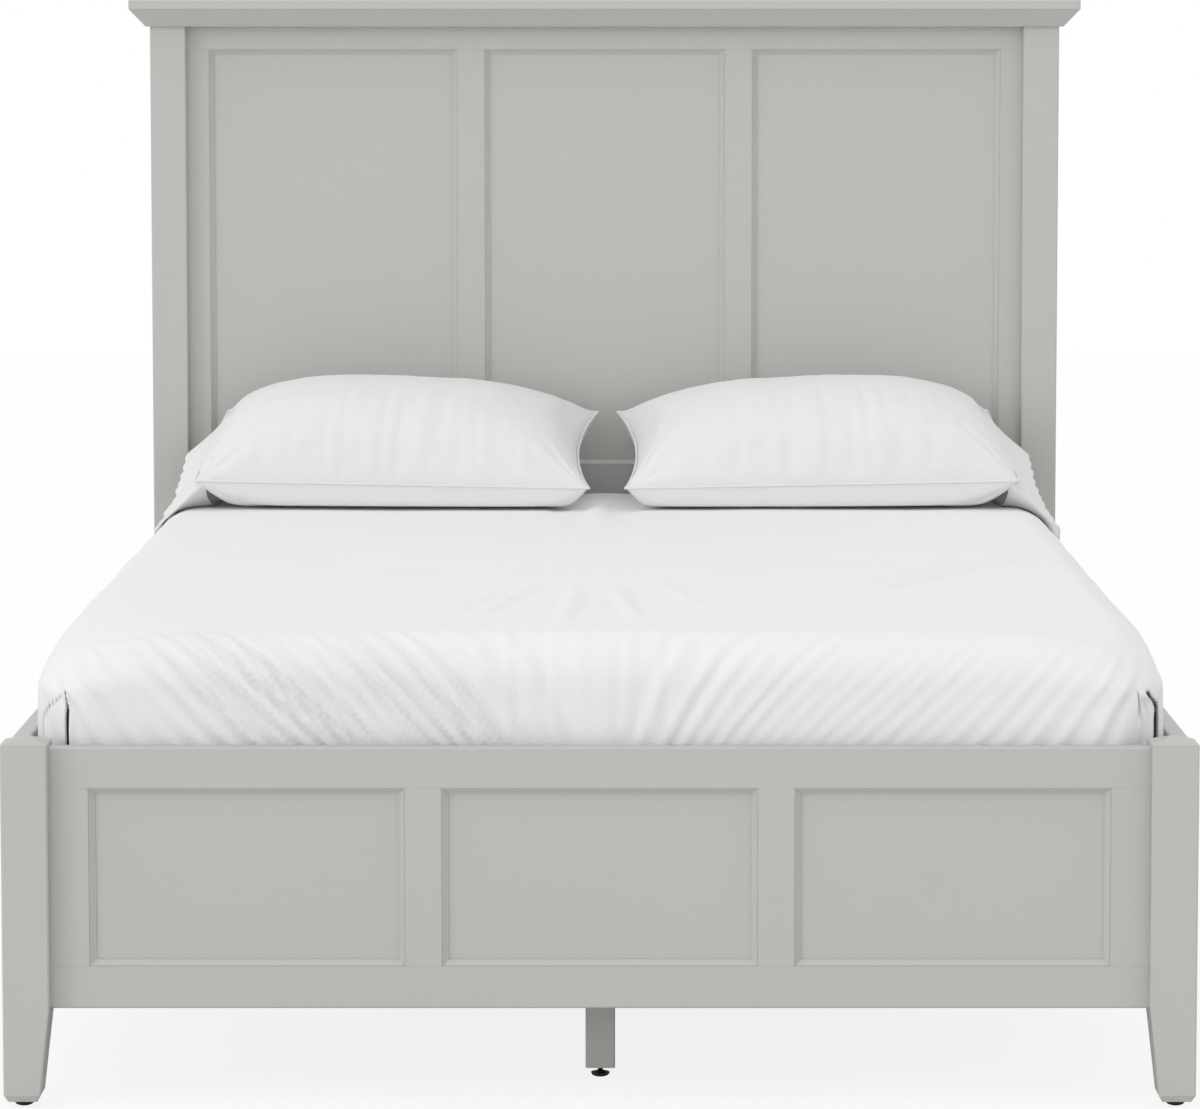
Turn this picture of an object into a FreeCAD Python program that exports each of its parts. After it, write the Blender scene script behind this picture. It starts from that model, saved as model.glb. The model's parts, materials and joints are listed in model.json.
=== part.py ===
"""Queen panel bed: framed headboard and footboard, side rails, slatted base and bedding.

Sizes are in millimetres. The origin is on the floor under the middle of the bed, +Z is up, +Y
points to the head end and +X to the right of someone who stands at the footboard.
"""

import FreeCAD
import Part
import os
from FreeCAD import Placement, Rotation, Vector
from math import ceil, cos, pi, radians, sin

# Overall
BED_WIDTH = 1650.0  # over the posts
BED_LENGTH = 2194.5  # over the posts
HEAD_HEIGHT = 1544.0  # floor to the top of the cap
FOOT_HEIGHT = 507.0  # floor to the shoulders of the footboard's posts

# Posts: square, with a leg that tapers on its two inner faces
POST = 64.5
POST_EASE = 2.0
POST_TIP_RISE = 9.5
POST_TIP = 6.0  # width of the blunt point on a footboard post
TAPER_START = 140.0
FOOT = 51.5  # width of the leg at the end of its taper
FOOT_CHAMFER = 5.4
FOOT_CHAMFER_RISE = 9.7

# Framed panels of both ends
FRAME = 25.0  # thickness of rails, stiles and mullions
FRAME_SETBACK = 22.0  # post face to frame face
FRAME_EASE = 2.0
PANEL = 9.0
PANEL_SETBACK = 9.0  # frame face to panel face
GROOVE = 8.0  # depth of the groove round each panel
GROOVE_FIT = 0.1  # clearance on each face of a panel or stub tenon
GROOVE_SLACK = 1.0  # clearance at the bottom of the groove
TENON = 32.0
TENON_THICKNESS = 9.0
TENON_SHOULDER = 10.0
TENON_FIT = 0.2

# Bead round each panel: a quirk, a bevel and a step down to the panel
BEAD = 9.0
BEAD_QUIRK = 1.5
BEAD_BEVEL = 6.0

# Headboard
HEAD_BOTTOM = 400.0
HEAD_OPENING_BOTTOM = 696.0
HEAD_TOP_RAIL_SHOWN = 41.0
HEAD_STILE = 40.0
HEAD_MULLION = 50.0
HEAD_CENTRE_OPENING = 437.0

# Crown: a cap board over a mitred bevel moulding
CAP = 18.0
CAP_EASE = 1.5
CROWN_OVERHANG = 35.0
CROWN_LIP = 7.0
CROWN_RISE = 30.0

# Footboard
FOOTBOARD_DROP = 6.0  # post shoulder to the top of the footboard
FOOTBOARD_BOTTOM = 136.0
FOOT_TOP_RAIL = 57.0
FOOT_BOTTOM_RAIL = 59.0
FOOT_STILE = 54.0
FOOT_MULLION = 51.0

# Side rails and the slatted base
SIDE_RAIL_TOP = 500.0
SIDE_RAIL_HEIGHT = 280.0
SIDE_RAIL = 25.0
SLAT_TOP = 394.0
SLAT = 18.0
SLAT_WIDTH = 68.0
SLAT_PITCH = 152.0  # the widest spacing allowed
SLAT_EASE = 2.0
SLAT_END_GAP = 2.0
CLEAT_WIDTH = 30.0
CLEAT_HEIGHT = 28.0
CLEAT_END_GAP = 13.0
BEAM_WIDTH = 42.0
BEAM_HEIGHT = 60.0
BEAM_END_GAP = 30.0
CENTRE_LEG = 42.0
CENTRE_LEG_SETBACK = 184.0  # post face to the face of the first and last centre legs
CENTRE_LEG_EASE = 2.0

# Hook plates on the rail ends and slot plates in the posts
PLATE = 2.5
PLATE_WIDTH = 18.0
PLATE_HEIGHT = 150.0
HOOK = 3.0
HOOK_SPACING = 64.0
HOOK_NECK = 14.0
HOOK_DROP = 12.0
HOOK_FIT = 0.4
SLOT_POCKET = 12.0

# Lag screws that hold the centre legs to the beam
LAG = 8.0
LAG_LENGTH = 112.0
LAG_HEAD_FLATS = 13.0
LAG_HEAD = 5.5
LAG_SINK = 8.0
LAG_SINK_WIDTH = 24.0
LAG_FIT = 0.1

# Glides: a swivelling pad on a stem that screws into a threaded insert
PAD_DIAMETER = 26.5
PAD_SOLE = 15.0
PAD_HEIGHT = 5.5
PAD_FLATS = 24  # grip flats round the pad
PAD_BOWL = 22.8  # width across the flats where the bowl steepens
PAD_BOWL_RISE = 1.6
PAD_RIM_RISE = 4.4
SOCKET_FLOOR = 1.2
PIVOT = 6.0  # diameter of the stem's end in the pad's socket
GLIDE_FIT = 0.05
COLLAR = 2.5
COLLAR_FLATS = 12.0
STEM = 8.0
STEM_LENGTH = 34.0
INSERT = 11.0  # diameter of its hole
INSERT_ACROSS = 10.4  # width across its flats
INSERT_FLATS = 12
INSERT_LENGTH = 44.0
INSERT_FIT = 0.05
CENTRE_GLIDE_OUT = 7.5  # how far the centre legs' glides are screwed out

# Bedding
MATTRESS = 254.0  # height
MATTRESS_SIDE_GAP = 13.0
MATTRESS_FOOT_GAP = 16.0
MATTRESS_HEAD_GAP = 16.0
MATTRESS_CORNER = 90.0
MATTRESS_TOP_EDGE = 64.0
MATTRESS_PADDING = 15.0  # round the space for its springs
SOFT_LINES = 6  # flats in each quarter of the mattress's rounds
SHEET = 2.0
SHEET_FIT = 0.5
SHEET_DROP = 235.0
TUCK_ANGLE = 45.0  # where each corner's fold stands on the corner's round
TUCK_WIDTH = 14.0
TUCK_HEIGHT = 4.0
TUCK_SEAT = 1.0
TUCK_TOP_DROP = 75.0
PILLOW_DEPTH = 352.0
PILLOW_CROWN = 112.0
PILLOW_BELLY = 150.0
PILLOW_TILT = 17.0
PILLOW_HALF_GAP = 20.0  # bed centre to the pillow's inner end
PILLOW_INSET = 75.0  # mattress side to the pillow's outer end
PILLOW_HEAD_GAP = 48.0  # headboard face to the pillow's back seam
PILLOW_SEAM_RISE = 51.0  # sheet to the pillow's front seam
PILLOW_SIDE_DRAW = 20.0
PILLOW_END_DRAW = 24.0
PILLOW_END = 7.0  # thickness at the ends
PILLOW_FIT = 0.5
PILLOW_SECTIONS = 18
PILLOW_LINES = 12  # lines in each half of a section
HEM = 3.0
HEM_GAP = 1.0  # pillow's end to the root of its case's hem
HEM_REACH = 86.0
HEM_FALL = 136.0
HEM_LINES = 4
# Along the pillow's end from front to back: the shares of the reach and fall at each place
HEM_STATIONS = ((0.08, 0.35, 0.3), (0.25, 0.8, 0.6), (0.44, 1.0, 1.0), (0.68, 0.7, 0.6), (0.9, 0.4, 0.2))

X = Vector(1, 0, 0)
Y = Vector(0, 1, 0)
Z = Vector(0, 0, 1)
ORIGIN = Vector(0, 0, 0)
FLAT = 1e-6  # volume between two edges that counts as level
HEM_ARCH = Vector(9, 0, 9)
LEFT, RIGHT = -1, 1
FOOT_END, HEAD_END = -1, 1
SIDES = {"left": LEFT, "right": RIGHT}
ENDS = {"foot": FOOT_END, "head": HEAD_END}

# Places that several pieces share
half_width = BED_WIDTH / 2
half_length = BED_LENGTH / 2
inner_width = half_width - POST  # bed centre to a post's inner face
inner_length = half_length - POST
foot_face = -half_length + FRAME_SETBACK
head_face = inner_length + FRAME_SETBACK
foot_top = FOOT_HEIGHT - FOOTBOARD_DROP
cap_bottom = HEAD_HEIGHT - CAP
crown_bottom = cap_bottom - CROWN_RISE
rail_inner = half_width - SIDE_RAIL
slat_bottom = SLAT_TOP - SLAT
glide_height = PAD_HEIGHT + COLLAR  # a glide that is screwed right in
centre_leg_bottom = glide_height + CENTRE_GLIDE_OUT
centre_leg_place = half_length - CENTRE_LEG_SETBACK - CENTRE_LEG / 2
leg_places = {"foot": -centre_leg_place, "middle": 0.0, "head": centre_leg_place}
sheet_top = SLAT_TOP + MATTRESS + SHEET_FIT + SHEET

parts = {}


def box(x0, x1, y0, y1, z0, z1):
    """A block between two opposite corners, whichever way round they are given."""
    corner = Vector(min(x0, x1), min(y0, y1), min(z0, z1))
    return Part.makeBox(abs(x1 - x0), abs(y1 - y0), abs(z1 - z0), corner)


def joined(shapes):
    """One solid from pieces that touch or overlap."""
    return shapes[0].multiFuse(shapes[1:]).removeSplitter()


def cut(shape, tools):
    """The shape less every tool."""
    return shape.cut(tools) if tools else shape


def mirrored(shape, axis):
    """The shape on the other side of the bed's middle plane across an axis."""
    return shape.mirror(ORIGIN, axis)


def eased(shape, size, wanted):
    """The shape with the arrises that pass a test taken off."""
    return shape.makeChamfer(size, [e for e in shape.Edges if wanted(e)])


def runs_along(edge, axis):
    """Whether a straight edge is parallel to an axis."""
    return abs(edge.tangentAt(edge.FirstParameter).dot(axis)) > 0.999


def polygon(points):
    """A closed wire through the points."""
    return Part.makePolygon(points + points[:1])


def eased_square(x0, x1, y0, y1, z, ease):
    """The points of a level rectangle with its corners cut off."""
    points = [
        (x0 + ease, y0),
        (x1 - ease, y0),
        (x1, y0 + ease),
        (x1, y1 - ease),
        (x1 - ease, y1),
        (x0 + ease, y1),
        (x0, y1 - ease),
        (x0, y0 + ease),
    ]
    return [Vector(x, y, z) for x, y in points]


def bowed(start, middle, end, lines):
    """Points along the arc through three points, its ends included."""
    return Part.Arc(start, middle, end).toShape().discretize(lines + 1)


def wall(low, high):
    """The flat faces between two edges: one if the four corners are level, and otherwise two."""
    corners = low + high[::-1]
    if abs((low[1] - low[0]).cross(high[0] - low[0]).dot(high[1] - low[0])) < FLAT:
        return [Part.Face(polygon(corners))]
    return [Part.Face(polygon(corners[:3])), Part.Face(polygon(corners[2:] + corners[:1]))]


def cap(ring):
    """The faces that close a ring: one where it is flat, and otherwise a strip across it."""
    if polygon(ring).findPlane():
        return [Part.Face(polygon(ring))]
    half = len(ring) // 2
    faces = [Part.Face(polygon([ring[0], ring[1], ring[-1]]))]
    for k in range(1, half - 1):
        faces += wall([ring[k], ring[k + 1]], [ring[-k], ring[-k - 1]])
    return faces + [Part.Face(polygon(ring[half - 1 : half + 2]))]


def lofted(rings):
    """A solid with straight walls from each ring of points to the next, closed at its ends."""
    faces = cap(rings[0]) + cap(rings[-1])
    for low, high in zip(rings, rings[1:]):
        for k in range(len(low)):
            faces += wall([low[k - 1], low[k]], [high[k - 1], high[k]])
    shell = Part.makeShell(faces)
    shell.sewShape()
    solid = Part.makeSolid(shell)
    return solid if solid.Volume > 0 else solid.reversed()


def regular(sides, flats, x, y, z):
    """The points of a level regular polygon of a given width across its flats."""
    radius = flats / 2 / cos(pi / sides)
    turns = [2 * pi * k / sides for k in range(sides)]
    return [Vector(x + radius * cos(a), y + radius * sin(a), z) for a in turns]


def hexagon(flats, x, y, z0, z1):
    """A hexagonal block of a given width across its flats."""
    return Part.Face(polygon(regular(6, flats, x, y, z0))).extrude(Z * (z1 - z0))


def rod(diameter, x, y, z0, z1):
    """An upright cylinder."""
    return Part.makeCylinder(diameter / 2, z1 - z0, Vector(x, y, z0))


# ---------------------------------------------------------------- posts


def post_square(side, end, z, inset, width, ease):
    """A level section of a post, measured in from the post's outer corner."""
    x, y = side * (half_width - inset), end * (half_length - inset)
    x_far, y_far = x - side * width, y - end * width
    return eased_square(min(x, x_far), max(x, x_far), min(y, y_far), max(y, y_far), z, ease)


def post(side, end):
    """A post with its tapered leg. A footboard post ends in a low pyramid."""
    top = cap_bottom if end == HEAD_END else FOOT_HEIGHT
    chamfered = FOOT - 2 * FOOT_CHAMFER
    sections = [
        post_square(side, end, glide_height, FOOT_CHAMFER, chamfered, POST_EASE),
        post_square(side, end, glide_height + FOOT_CHAMFER_RISE, 0, FOOT, POST_EASE),
        post_square(side, end, TAPER_START, 0, POST, POST_EASE),
        post_square(side, end, top, 0, POST, POST_EASE),
    ]
    if end == FOOT_END:
        tip_inset = (POST - POST_TIP) / 2
        tip = top + POST_TIP_RISE
        sections.append(post_square(side, end, tip, tip_inset, POST_TIP, POST_EASE))
    return lofted(sections)


# ---------------------------------------------------------------- framed panels


def bead_strips(x0, x1, z0, z1, face):
    """Four mitred strips round an opening. Each runs between the sections at two corners."""
    low = BEAD_QUIRK + BEAD_BEVEL
    outline = [
        (0, BEAD_QUIRK),
        (BEAD_QUIRK, BEAD_QUIRK),
        (low, low),
        (BEAD, low),
        (BEAD, PANEL_SETBACK),
        (0, PANEL_SETBACK),
    ]
    corners = [(x0, z0, 1, 1), (x1, z0, -1, 1), (x1, z1, -1, -1), (x0, z1, 1, -1)]
    mitres = [
        [Vector(x + sx * w, face + d, z + sz * w) for w, d in outline]
        for x, z, sx, sz in corners
    ]
    return [lofted([mitres[k], mitres[(k + 1) % 4]]) for k in range(4)]


def tenon(side, face, z0, z1, fit=0.0):
    """A rail's tenon beyond its shoulder, or with a fit the mortise for it."""
    middle = face + FRAME / 2
    half = TENON_THICKNESS / 2 + fit
    far = inner_width + TENON + (GROOVE_SLACK if fit else 0)
    low, high = z0 + TENON_SHOULDER - fit, z1 - TENON_SHOULDER + fit
    return box(side * inner_width, side * far, middle - half, middle + half, low, high)


def framed_panel(name, face, rows, stile, mullion, centre):
    """One end's frame with its panels and beads.

    rows holds the heights of the frame's bottom, the opening's bottom, its top and the
    frame's top. The tenons that go into the posts are given back as mortises.
    """
    bottom, open_bottom, open_top, top = rows
    groove_front = face + PANEL_SETBACK - GROOVE_FIT
    groove_back = face + PANEL_SETBACK + PANEL + GROOVE_FIT
    panel_front, panel_back = face + PANEL_SETBACK, face + PANEL_SETBACK + PANEL
    seat = GROOVE - GROOVE_SLACK
    edges = {
        "left": (-inner_width + stile, -centre / 2 - mullion),
        "centre": (-centre / 2, centre / 2),
        "right": (centre / 2 + mullion, inner_width - stile),
    }

    rails = {"bottom_rail": (bottom, open_bottom), "top_rail": (open_top, top)}
    mortises = {LEFT: [], RIGHT: []}
    for rail, (z0, z1) in rails.items():
        outer = z1 if rail == "top_rail" else z0
        shape = eased(
            box(-inner_width, inner_width, face, face + FRAME, z0, z1),
            FRAME_EASE,
            lambda e: runs_along(e, X) and abs(e.CenterOfMass.z - outer) < FRAME_EASE,
        )
        inner = open_top if rail == "top_rail" else open_bottom
        depth = GROOVE if rail == "top_rail" else -GROOVE
        groove = box(
            -inner_width, inner_width, groove_front, groove_back, inner, inner + depth
        )
        tenons = [tenon(side, face, z0, z1) for side in (LEFT, RIGHT)]
        parts[f"{name}_{rail}"] = joined([shape.cut(groove)] + tenons)
        for side in (LEFT, RIGHT):
            mortises[side].append(tenon(side, face, z0, z1, TENON_FIT))

    def upright(x0, x1, grooved):
        """A stile or mullion on stub tenons, with a groove in each edge that holds a panel."""
        body = box(x0, x1, face, face + FRAME, open_bottom, open_top)
        stubs = box(x0, x1, panel_front, panel_back, open_bottom - seat, open_top + seat)
        low, high = open_bottom - GROOVE, open_top + GROOVE
        grooves = [
            box(x, x - way * GROOVE, groove_front, groove_back, low, high)
            for x, way in grooved
        ]
        return cut(joined([body, stubs]), grooves)

    stile_inner = inner_width - stile
    mullion_inner, mullion_outer = centre / 2, centre / 2 + mullion
    stile_right = upright(stile_inner, inner_width, [(stile_inner, -1)])
    mullion_right = upright(
        mullion_inner, mullion_outer, [(mullion_inner, -1), (mullion_outer, 1)]
    )
    parts[f"{name}_stile_right"] = stile_right
    parts[f"{name}_stile_left"] = mirrored(stile_right, X)
    parts[f"{name}_mullion_right"] = mullion_right
    parts[f"{name}_mullion_left"] = mirrored(mullion_right, X)

    beads = []
    for place, (x0, x1) in edges.items():
        parts[f"{name}_panel_{place}"] = box(
            x0 - seat, x1 + seat, panel_front, panel_back, open_bottom - seat, open_top + seat
        )
        beads += bead_strips(x0, x1, open_bottom, open_top, face)
    parts[f"{name}_beads"] = Part.makeCompound(beads)
    return mortises


def crown():
    """The cap board, the bevel moulding under its front and ends, and the strip behind it."""
    x_out, y_out = half_width + CROWN_OVERHANG, inner_length - CROWN_OVERHANG
    cap = box(-x_out, x_out, y_out, half_length, cap_bottom, HEAD_HEIGHT)
    parts["headboard_cap"] = eased(cap, CAP_EASE, lambda e: e.CenterOfMass.y < half_length - 0.1)
    outline = [
        (0, crown_bottom),
        (CROWN_LIP, crown_bottom),
        (CROWN_OVERHANG - CAP_EASE, cap_bottom),
        (0, cap_bottom),
    ]

    def section(side, y, slope):
        """The moulding's section at a mitre, or square across where slope is 0."""
        return [Vector(side * (half_width + o), y - slope * o, z) for o, z in outline]

    mitres = {side: section(side, inner_length, 1) for side in (LEFT, RIGHT)}
    parts["headboard_crown_front"] = lofted([mitres[LEFT], mitres[RIGHT]])
    parts["headboard_crown_returns"] = Part.makeCompound(
        [lofted([mitres[side], section(side, half_length, 0)]) for side in (LEFT, RIGHT)]
    )
    parts["headboard_crown_backer"] = box(
        -inner_width, inner_width, inner_length, head_face, crown_bottom, cap_bottom
    )


# ---------------------------------------------------------------- rail fasteners


def plate_places(side, end):
    """The middle of a rail's end face and the way from the rail into the post."""
    x = side * (half_width - SIDE_RAIL / 2)
    z = SIDE_RAIL_TOP - SIDE_RAIL_HEIGHT / 2
    return Vector(x, end * inner_length, z), Vector(0, end, 0)


def hook_bottoms(z):
    """The heights of the undersides of a plate's two hook necks."""
    return [z + HOOK_SPACING * k - HOOK_NECK / 2 for k in (-0.5, 0.5)]


def hook_plate(side, end):
    """A plate let into the rail's end, with two hooks that reach down behind the slot plate."""
    at, way = plate_places(side, end)
    half_plate, half_hook = PLATE_WIDTH / 2, HOOK / 2
    back = at - way * PLATE
    half_height = PLATE_HEIGHT / 2
    shapes = [
        box(at.x - half_plate, at.x + half_plate, back.y, at.y, at.z - half_height, at.z + half_height)
    ]
    neck_end = at + way * (PLATE + HOOK_FIT + HOOK)
    tongue = at + way * (PLATE + HOOK_FIT)
    for z in hook_bottoms(at.z):
        low, high = z - HOOK_DROP, z + HOOK_NECK
        shapes.append(box(at.x - half_hook, at.x + half_hook, at.y, neck_end.y, z, high))
        shapes.append(box(at.x - half_hook, at.x + half_hook, tongue.y, neck_end.y, low, high))
    return joined(shapes)


def slot_plate(side, end):
    """A plate let flush into the post, with a slot for each hook."""
    at, way = plate_places(side, end)
    half_plate, half_slot = PLATE_WIDTH / 2, HOOK / 2 + HOOK_FIT
    back = at + way * PLATE
    half_height = PLATE_HEIGHT / 2
    plate = box(
        at.x - half_plate, at.x + half_plate, at.y, back.y, at.z - half_height, at.z + half_height
    )
    slots = []
    for z in hook_bottoms(at.z):
        high = z + HOOK_NECK + HOOK_DROP + HOOK_FIT
        slots.append(box(at.x - half_slot, at.x + half_slot, at.y, back.y, z, high))
    return cut(plate, slots)


def post_pockets(side, end):
    """The recess for a slot plate, and the pockets behind its slots."""
    at, way = plate_places(side, end)
    half_plate, half_pocket = PLATE_WIDTH / 2, HOOK
    back = at + way * PLATE
    deep = at + way * SLOT_POCKET
    half_height = PLATE_HEIGHT / 2
    pockets = [
        box(at.x - half_plate, at.x + half_plate, at.y, back.y, at.z - half_height, at.z + half_height)
    ]
    for z in hook_bottoms(at.z):
        low, high = z - HOOK_DROP - HOOK_FIT, z + HOOK_NECK + HOOK_DROP + HOOK_FIT
        pockets.append(box(at.x - half_pocket, at.x + half_pocket, at.y, deep.y, low, high))
    return pockets


def rail_recess(side, end):
    """The recess for a hook plate in the rail's end."""
    at, way = plate_places(side, end)
    half_plate, half_height = PLATE_WIDTH / 2, PLATE_HEIGHT / 2
    back = at - way * PLATE
    return box(
        at.x - half_plate, at.x + half_plate, at.y, back.y, at.z - half_height, at.z + half_height
    )


# ---------------------------------------------------------------- glides


def glide_pad(x, y):
    """A round pad with a bowl-shaped side, grip flats and a socket for the stem's end."""
    rows = (
        (PAD_SOLE, 0),
        (PAD_BOWL, PAD_BOWL_RISE),
        (PAD_DIAMETER, PAD_RIM_RISE),
        (PAD_DIAMETER, PAD_HEIGHT),
    )
    bowl = lofted([regular(PAD_FLATS, flats, x, y, z) for flats, z in rows])
    return bowl.cut(rod(PIVOT + 2 * GLIDE_FIT, x, y, SOCKET_FLOOR, PAD_HEIGHT))


def glide_stem(x, y):
    """A stem whose end turns in the pad, with a thin hexagonal collar for a spanner."""
    pivot = rod(PIVOT, x, y, SOCKET_FLOOR + GLIDE_FIT, PAD_HEIGHT)
    collar = hexagon(COLLAR_FLATS, x, y, PAD_HEIGHT, glide_height)
    stem = rod(STEM, x, y, glide_height, glide_height + STEM_LENGTH)
    return joined([pivot, collar, stem])


def insert_hole(x, y, z):
    """The hole for a threaded insert whose mouth is at height z."""
    return rod(INSERT + 2 * INSERT_FIT, x, y, z, z + INSERT_LENGTH + INSERT_FIT)


def glide_insert(x, y, z):
    """A threaded insert with its mouth at height z."""
    bore = rod(STEM + 2 * GLIDE_FIT, x, y, z, z + INSERT_LENGTH)
    outline = polygon(regular(INSERT_FLATS, INSERT_ACROSS, x, y, z))
    return Part.Face(outline).extrude(Z * INSERT_LENGTH).cut(bore)


# ---------------------------------------------------------------- bedding


def soft_ring(gap, z):
    """The points of the mattress's outline grown by a gap, at height z."""
    reach = MATTRESS_CORNER + gap
    x = rail_inner - MATTRESS_SIDE_GAP - MATTRESS_CORNER
    y0 = foot_face + FRAME + MATTRESS_FOOT_GAP + MATTRESS_CORNER
    y1 = head_face - MATTRESS_HEAD_GAP - MATTRESS_CORNER
    points = []
    for quarter, (cx, cy) in enumerate([(x, y1), (-x, y1), (-x, y0), (x, y0)]):
        for k in range(SOFT_LINES + 1):
            turn = pi / 2 * (quarter + k / SOFT_LINES)
            points.append(Vector(cx + reach * cos(turn), cy + reach * sin(turn), z))
    return points


def soft_block(gap, low, high):
    """The mattress's form grown by a gap all round, between two heights."""
    edge = MATTRESS_TOP_EDGE + gap
    rings = [soft_ring(gap, low)]
    for k in range(SOFT_LINES + 1):
        turn = pi / 2 * k / SOFT_LINES
        rings.append(soft_ring(gap - edge * (1 - cos(turn)), high - edge * (1 - sin(turn))))
    return lofted(rings)


def sheet():
    """A sheet drawn down over the mattress, with a folded tuck at each foot corner."""
    top = SLAT_TOP + MATTRESS + SHEET_FIT
    hem = top - SHEET_DROP
    outer = soft_block(SHEET_FIT + SHEET, hem, top + SHEET)
    inner = soft_block(SHEET_FIT, hem - SHEET_DROP, top)
    skin = outer.cut(inner)
    half = rail_inner - MATTRESS_SIDE_GAP
    foot = foot_face + FRAME + MATTRESS_FOOT_GAP
    round_out = MATTRESS_CORNER + SHEET_FIT + SHEET
    tucks = []
    for side in (LEFT, RIGHT):
        centre = Vector(side * (half - MATTRESS_CORNER), foot + MATTRESS_CORNER, 0)
        way = Vector(side * sin(radians(TUCK_ANGLE)), -cos(radians(TUCK_ANGLE)), 0)
        along = Vector(-way.y, way.x, 0)
        base = centre + way * (round_out - SHEET - TUCK_SEAT)
        crest = centre + way * (round_out + TUCK_HEIGHT)
        a, b = base + along * (TUCK_WIDTH / 2), base - along * (TUCK_WIDTH / 2)
        fold = Part.Wire([Part.Arc(a, crest, b).toShape(), Part.makeLine(b, a)])
        fold.translate(Vector(0, 0, hem))
        tucks.append(Part.Face(fold).extrude(Vector(0, 0, SHEET_DROP - TUCK_TOP_DROP)))
    return joined([skin] + [tuck.cut(inner) for tuck in tucks])


def pillow_section(t, x_in, width):
    """The points of a section at a share t across: over from seam to seam, and back under."""
    swell = sin(pi * t) ** 0.5 if 0 < t < 1 else 0.0
    over = max(PILLOW_CROWN * swell, PILLOW_END / 2)
    under = max(PILLOW_BELLY * swell, PILLOW_END / 2)
    across = 2 * t - 1
    draw = PILLOW_SIDE_DRAW * (1 - across**2)
    x, middle = x_in + width * t, x_in + width * t - PILLOW_END_DRAW * across**5
    front, back = Vector(x, draw, 0), Vector(x, PILLOW_DEPTH - draw, 0)
    crest = Vector(middle, PILLOW_DEPTH / 2, over)
    belly = Vector(middle, PILLOW_DEPTH / 2, -under)
    upper = bowed(front, crest, back, PILLOW_LINES)
    lower = bowed(back, belly, front, PILLOW_LINES)
    return upper + lower[1:-1]


def pillow():
    """The right pillow: crowned, drawn in between its corners, and flat where it lies."""
    x_in = PILLOW_HALF_GAP
    width = rail_inner - MATTRESS_SIDE_GAP - PILLOW_INSET - x_in
    reach = PILLOW_DEPTH * cos(radians(PILLOW_TILT))
    shares = [(1 - cos(pi * k / PILLOW_SECTIONS)) / 2 for k in range(PILLOW_SECTIONS + 1)]
    body = lofted([pillow_section(t, x_in, width) for t in shares])
    front = Vector(0, head_face - PILLOW_HEAD_GAP - reach, sheet_top + PILLOW_SEAM_RISE)
    body.Placement = Placement(front, Rotation(X, PILLOW_TILT))
    floor = sheet_top + PILLOW_FIT
    return body.cut(box(0, half_width, 0, half_length, SLAT_TOP, floor))


def hem_flap():
    """The open end of the right pillow's case, which hangs over the side of the mattress."""
    start = rail_inner - MATTRESS_SIDE_GAP - PILLOW_INSET + HEM_GAP
    reach = PILLOW_DEPTH * cos(radians(PILLOW_TILT))
    front = head_face - PILLOW_HEAD_GAP - reach
    seam = sheet_top + PILLOW_SEAM_RISE
    rings = []
    for share, out, fall in HEM_STATIONS:
        y = front + share * reach
        z = seam + share * reach * sin(radians(PILLOW_TILT))
        root, tip = Vector(start, y, z), Vector(start + out * HEM_REACH, y, z - fall * HEM_FALL)
        over = Vector((root.x + tip.x) / 2, y, (root.z + tip.z) / 2) + HEM_ARCH
        step = Vector(-HEM * 0.7, 0, -HEM * 0.7)
        outer = bowed(root, over, tip, HEM_LINES)
        rings.append(outer + [point + step for point in reversed(outer)])
    return lofted(rings)


# ---------------------------------------------------------------- the two ends

head_rows = (HEAD_BOTTOM, HEAD_OPENING_BOTTOM, crown_bottom - HEAD_TOP_RAIL_SHOWN, cap_bottom)
foot_rows = (
    FOOTBOARD_BOTTOM,
    FOOTBOARD_BOTTOM + FOOT_BOTTOM_RAIL,
    foot_top - FOOT_TOP_RAIL,
    foot_top,
)
foot_opening = (2 * inner_width - 2 * FOOT_STILE - 2 * FOOT_MULLION) / 3
mortises = {
    HEAD_END: framed_panel(
        "headboard", head_face, head_rows, HEAD_STILE, HEAD_MULLION, HEAD_CENTRE_OPENING
    ),
    FOOT_END: framed_panel(
        "footboard", foot_face, foot_rows, FOOT_STILE, FOOT_MULLION, foot_opening
    ),
}
crown()

inserts = []
for end_name, end in ENDS.items():
    for side_name, side in SIDES.items():
        x = side * (half_width - FOOT / 2)
        y = end * (half_length - FOOT / 2)
        tools = mortises[end][side] + post_pockets(side, end)
        tools.append(insert_hole(x, y, glide_height))
        parts[f"{end_name}board_post_{side_name}"] = cut(post(side, end), tools)
        parts[f"glide_pad_{end_name}_{side_name}"] = glide_pad(x, y)
        parts[f"glide_stem_{end_name}_{side_name}"] = glide_stem(x, y)
        inserts.append(glide_insert(x, y, glide_height))

# ---------------------------------------------------------------- side rails

corners = [(side, end) for side in (LEFT, RIGHT) for end in (FOOT_END, HEAD_END)]
parts["rail_hook_plates"] = Part.makeCompound([hook_plate(*c) for c in corners])
parts["post_slot_plates"] = Part.makeCompound([slot_plate(*c) for c in corners])

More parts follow.
